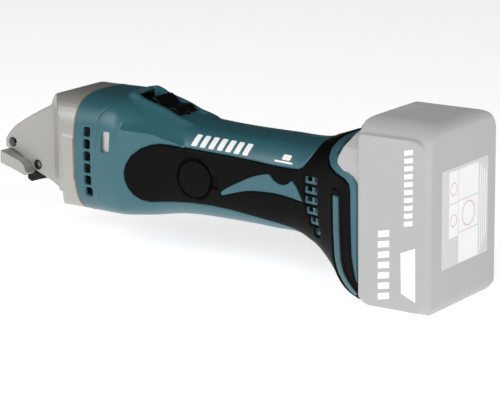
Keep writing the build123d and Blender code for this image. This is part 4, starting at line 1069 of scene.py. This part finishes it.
def make_pack_print():
    """Plain slanted bars on the battery's sides, and a label of blank fields on its rear."""
    bars = [
        WIDE_BAR,
        *bar_column((-35.2, -27.6), -56.0, 7, 6.2, 3.8, 1.6),
        *bar_column((-17.8, -12.2), -10.0, 10, 4.6, 2.8, 1.2),
    ]
    for side, ending in ((-1, "left"), (1, "right")):
        low, high = sorted((side * (PACK_HALF - 0.1), side * (PACK_HALF + 0.08)))
        plate_group(f"pack_bars_{ending}", bars, 1, low, high, PRINT_WHITE, "battery")
    plate_group("pack_label", [rectangle(*LABEL_AREA, 1.0)], 0, -0.3, 0.02, PAINTED_GLOW_LABEL, "battery")
    fields = [rectangle(*corners) for corners in LABEL_FIELDS]
    for k in range(LINE_COUNT):
        y = 17.0 + LINE_PITCH * k
        fields.append(rectangle((y, -34.0 + 3.0 * k), (y + 0.9, 18.0 - 2.0 * k)))
    plate_group("label_fields", fields, 0, -0.25, 0.07, PRINT_WHITE, "battery")
    rings = [strip for spec in LABEL_RINGS for strip in ring(*spec)]
    plate_group("label_rings", rings, 0, -0.2, 0.11, PRINT_RED, "battery")


# ---------------------------------------------------------------- printed marks on the grip
MARK_START = (-178.4, 15.0)
MARK_PITCH = 6.3
MARK_COUNT = 7
SMALL_MARKS = [
    [(-116.8, 13.0), (-103.6, 12.6), (-103.4, 13.6), (-116.6, 14.0)],
    [(-112.0, 14.6), (-106.0, 14.4), (-105.2, 17.2), (-111.2, 17.4)],
]
INK = 0.07


def make_marks(sheet):
    """Plain slanted bars where the tool carries its printed marks."""
    bars = []
    for k in range(MARK_COUNT):
        x = MARK_START[0] + MARK_PITCH * k
        low = MARK_START[1] - 0.2 * k
        bars.append([(x, low), (x + 4.0, low - 0.1), (x + 5.6, low + 6.2), (x + 1.6, low + 6.3)])
    bars += SMALL_MARKS

    def field(p):
        return np.min([outline_field(bar, p[:, 0], p[:, 2]) for bar in bars], axis=0)

    left = trimmed(sheet, field)
    left = trimmed(left, lambda p: np.where(p[:, 2] > 0, -1.0, 1.0))
    points, faces = closed_sheet(left, np.full(len(left[0]), INK), np.full(len(left[0]), -0.05))
    both_sides("printed_bars", points, faces, PRINT_WHITE, "tool")


# ---------------------------------------------------------------- CAD nodes that show as they are
NODE_FINISH = {
    "yoke": CAST, "yoke_bolt": DARK_STEEL, "clearance_screw": DARK_STEEL, "lower_blade": BLADE_STEEL,
    "lower_blade_bolt": DARK_STEEL, "blade_lever": DARK_STEEL, "upper_blade": BLADE_STEEL,
    "upper_blade_bolt": DARK_STEEL, "lever_pin": STEEL, "housing_gasket": GASKET, "bearing_plate": CAST,
    "motor_can": BRIGHT_STEEL, "motor_magnets": FERRITE, "carbon_brushes": FERRITE, "fan": BLACK_PLASTIC,
    "motor_end_cap": BLACK_PLASTIC, "armature_windings": COPPER, "commutator": COPPER,
    "brush_holders": COPPER,
    "terminal_blades": COPPER, "battery_contacts": COPPER, "terminal_block": BLACK_PLASTIC,
    "switch_link": BLACK_PLASTIC, "switch_body": BLACK_PLASTIC, "cell_holder": BLACK_PLASTIC,
    "battery_cells": CELL, "battery_board": BOARD, "wires": WIRE, "latch_button": PALE_PAINTED_GLOW,
    "housing_screws": DARK_STEEL, "plate_screws": DARK_STEEL, "battery_screws": DARK_STEEL,
}
BEVEL_WIDTH = 0.35
BEVEL_ANGLE = 35.0
BEVELLED = [
    "yoke", "yoke_bolt", "blade_lever", "upper_blade", "lower_blade", "latch_button", "terminal_block",
]


def finish_nodes():
    """Gives every carried-over CAD node its material, and a small bevel where its edges show."""
    for name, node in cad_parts.items():
        node.data.materials.clear()
        node.data.materials.append(NODE_FINISH.get(name, STEEL))
    for name in BEVELLED:
        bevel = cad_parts[name].modifiers.new("edge", "BEVEL")
        bevel.width = BEVEL_WIDTH * MM
        bevel.segments = 2
        bevel.limit_method = "ANGLE"
        bevel.angle_limit = radians(BEVEL_ANGLE)


# ---------------------------------------------------------------- stage
FLOOR_SIZE = 12.0
FLOOR_GAP = 0.0005
FLOOR_GLOW = 0.74
SKY_LOW = 0.62
SKY_HIGH = 0.15
# Lights: name, azimuth, elevation, distance, size and power.
LIGHTS = [
    ("key_right", 62.0, 22.0, 1.7, (1.0, 1.0), 14.0),
    ("key_left", -30.0, 32.0, 1.6, (0.9, 0.9), 12.0),
    ("front", 25.0, 12.0, 2.0, (1.6, 0.9), 7.0),
]


def make_stage():
    """Pale floor, and surroundings that are brighter at the horizon than overhead."""
    bpy.ops.mesh.primitive_plane_add(size=FLOOR_SIZE, location=(0, 0, cad_box[0][2] - FLOOR_GAP))
    floor = bpy.context.object
    floor.name = "floor"
    pale = surface("pale_floor", (0.90, 0.90, 0.90), 0.6, bump=0.01, mottle=0.005, glow=FLOOR_GLOW)
    floor.data.materials.append(pale)
    world = bpy.data.worlds.new("studio")
    bpy.context.scene.world = world
    world.use_nodes = True
    nodes, links = world.node_tree.nodes, world.node_tree.links
    place = nodes.new("ShaderNodeTexCoord")
    parts = nodes.new("ShaderNodeSeparateXYZ")
    links.new(place.outputs["Generated"], parts.inputs["Vector"])
    level = nodes.new("ShaderNodeMapRange")
    level.inputs["To Min"].default_value = SKY_LOW
    level.inputs["To Max"].default_value = SKY_HIGH
    links.new(parts.outputs["Z"], level.inputs["Value"])
    links.new(level.outputs["Result"], nodes["Background"].inputs["Strength"])


def add_light(name, azimuth, elevation, distance, size, power):
    """Large soft light aimed at the object; azimuth 0 stands on the tool's left, 90 behind the battery."""
    a, e = radians(azimuth), radians(elevation)
    place = LOOK_AT + Vector((sin(a) * cos(e), -cos(a) * cos(e), sin(e))) * distance
    data = bpy.data.lights.new(name, "AREA")
    data.shape = "RECTANGLE"
    data.size, data.size_y = size
    data.energy = power
    light = bpy.data.objects.new(name, data)
    bpy.context.collection.objects.link(light)
    light.location = place
    light.rotation_euler = (LOOK_AT - light.location).to_track_quat("-Z", "Y").to_euler()


def make_camera():
    """Camera at the studio view's angle."""
    a, e, r = CAMERA_AZIMUTH, CAMERA_ELEVATION, CAMERA_ROLL
    back = Vector((sin(a) * cos(e), -cos(a) * cos(e), sin(e)))
    right = Vector((cos(a), sin(a), 0))
    up = back.cross(right)
    turned_right = right * cos(r) + up * sin(r)
    turned_up = up * cos(r) - right * sin(r)
    data = bpy.data.cameras.new("camera")
    data.lens = CAMERA_LENS
    data.sensor_width = SENSOR
    data.clip_end = 20.0
    camera = bpy.data.objects.new("camera", data)
    bpy.context.collection.objects.link(camera)
    turn = Matrix((turned_right, turned_up, back)).transposed()
    camera.matrix_world = Matrix.Translation(LOOK_AT + back * CAMERA_DISTANCE) @ turn.to_4x4()
    bpy.context.scene.camera = camera


# ---------------------------------------------------------------- build
body = body_sheet()
make_housing(body)
make_grip(body)
make_cover(body)
make_under_skin(body)
make_vent_ribs(body)
make_stripe(body)
make_window_plate()
make_marks(body)
make_head()
make_heel()
make_knob()
make_switch_bed()
make_pack()
make_pack_print()
finish_nodes()
make_stage()
for light in LIGHTS:
    add_light(*light)
make_camera()
bpy.context.scene.view_settings.view_transform = "Standard"
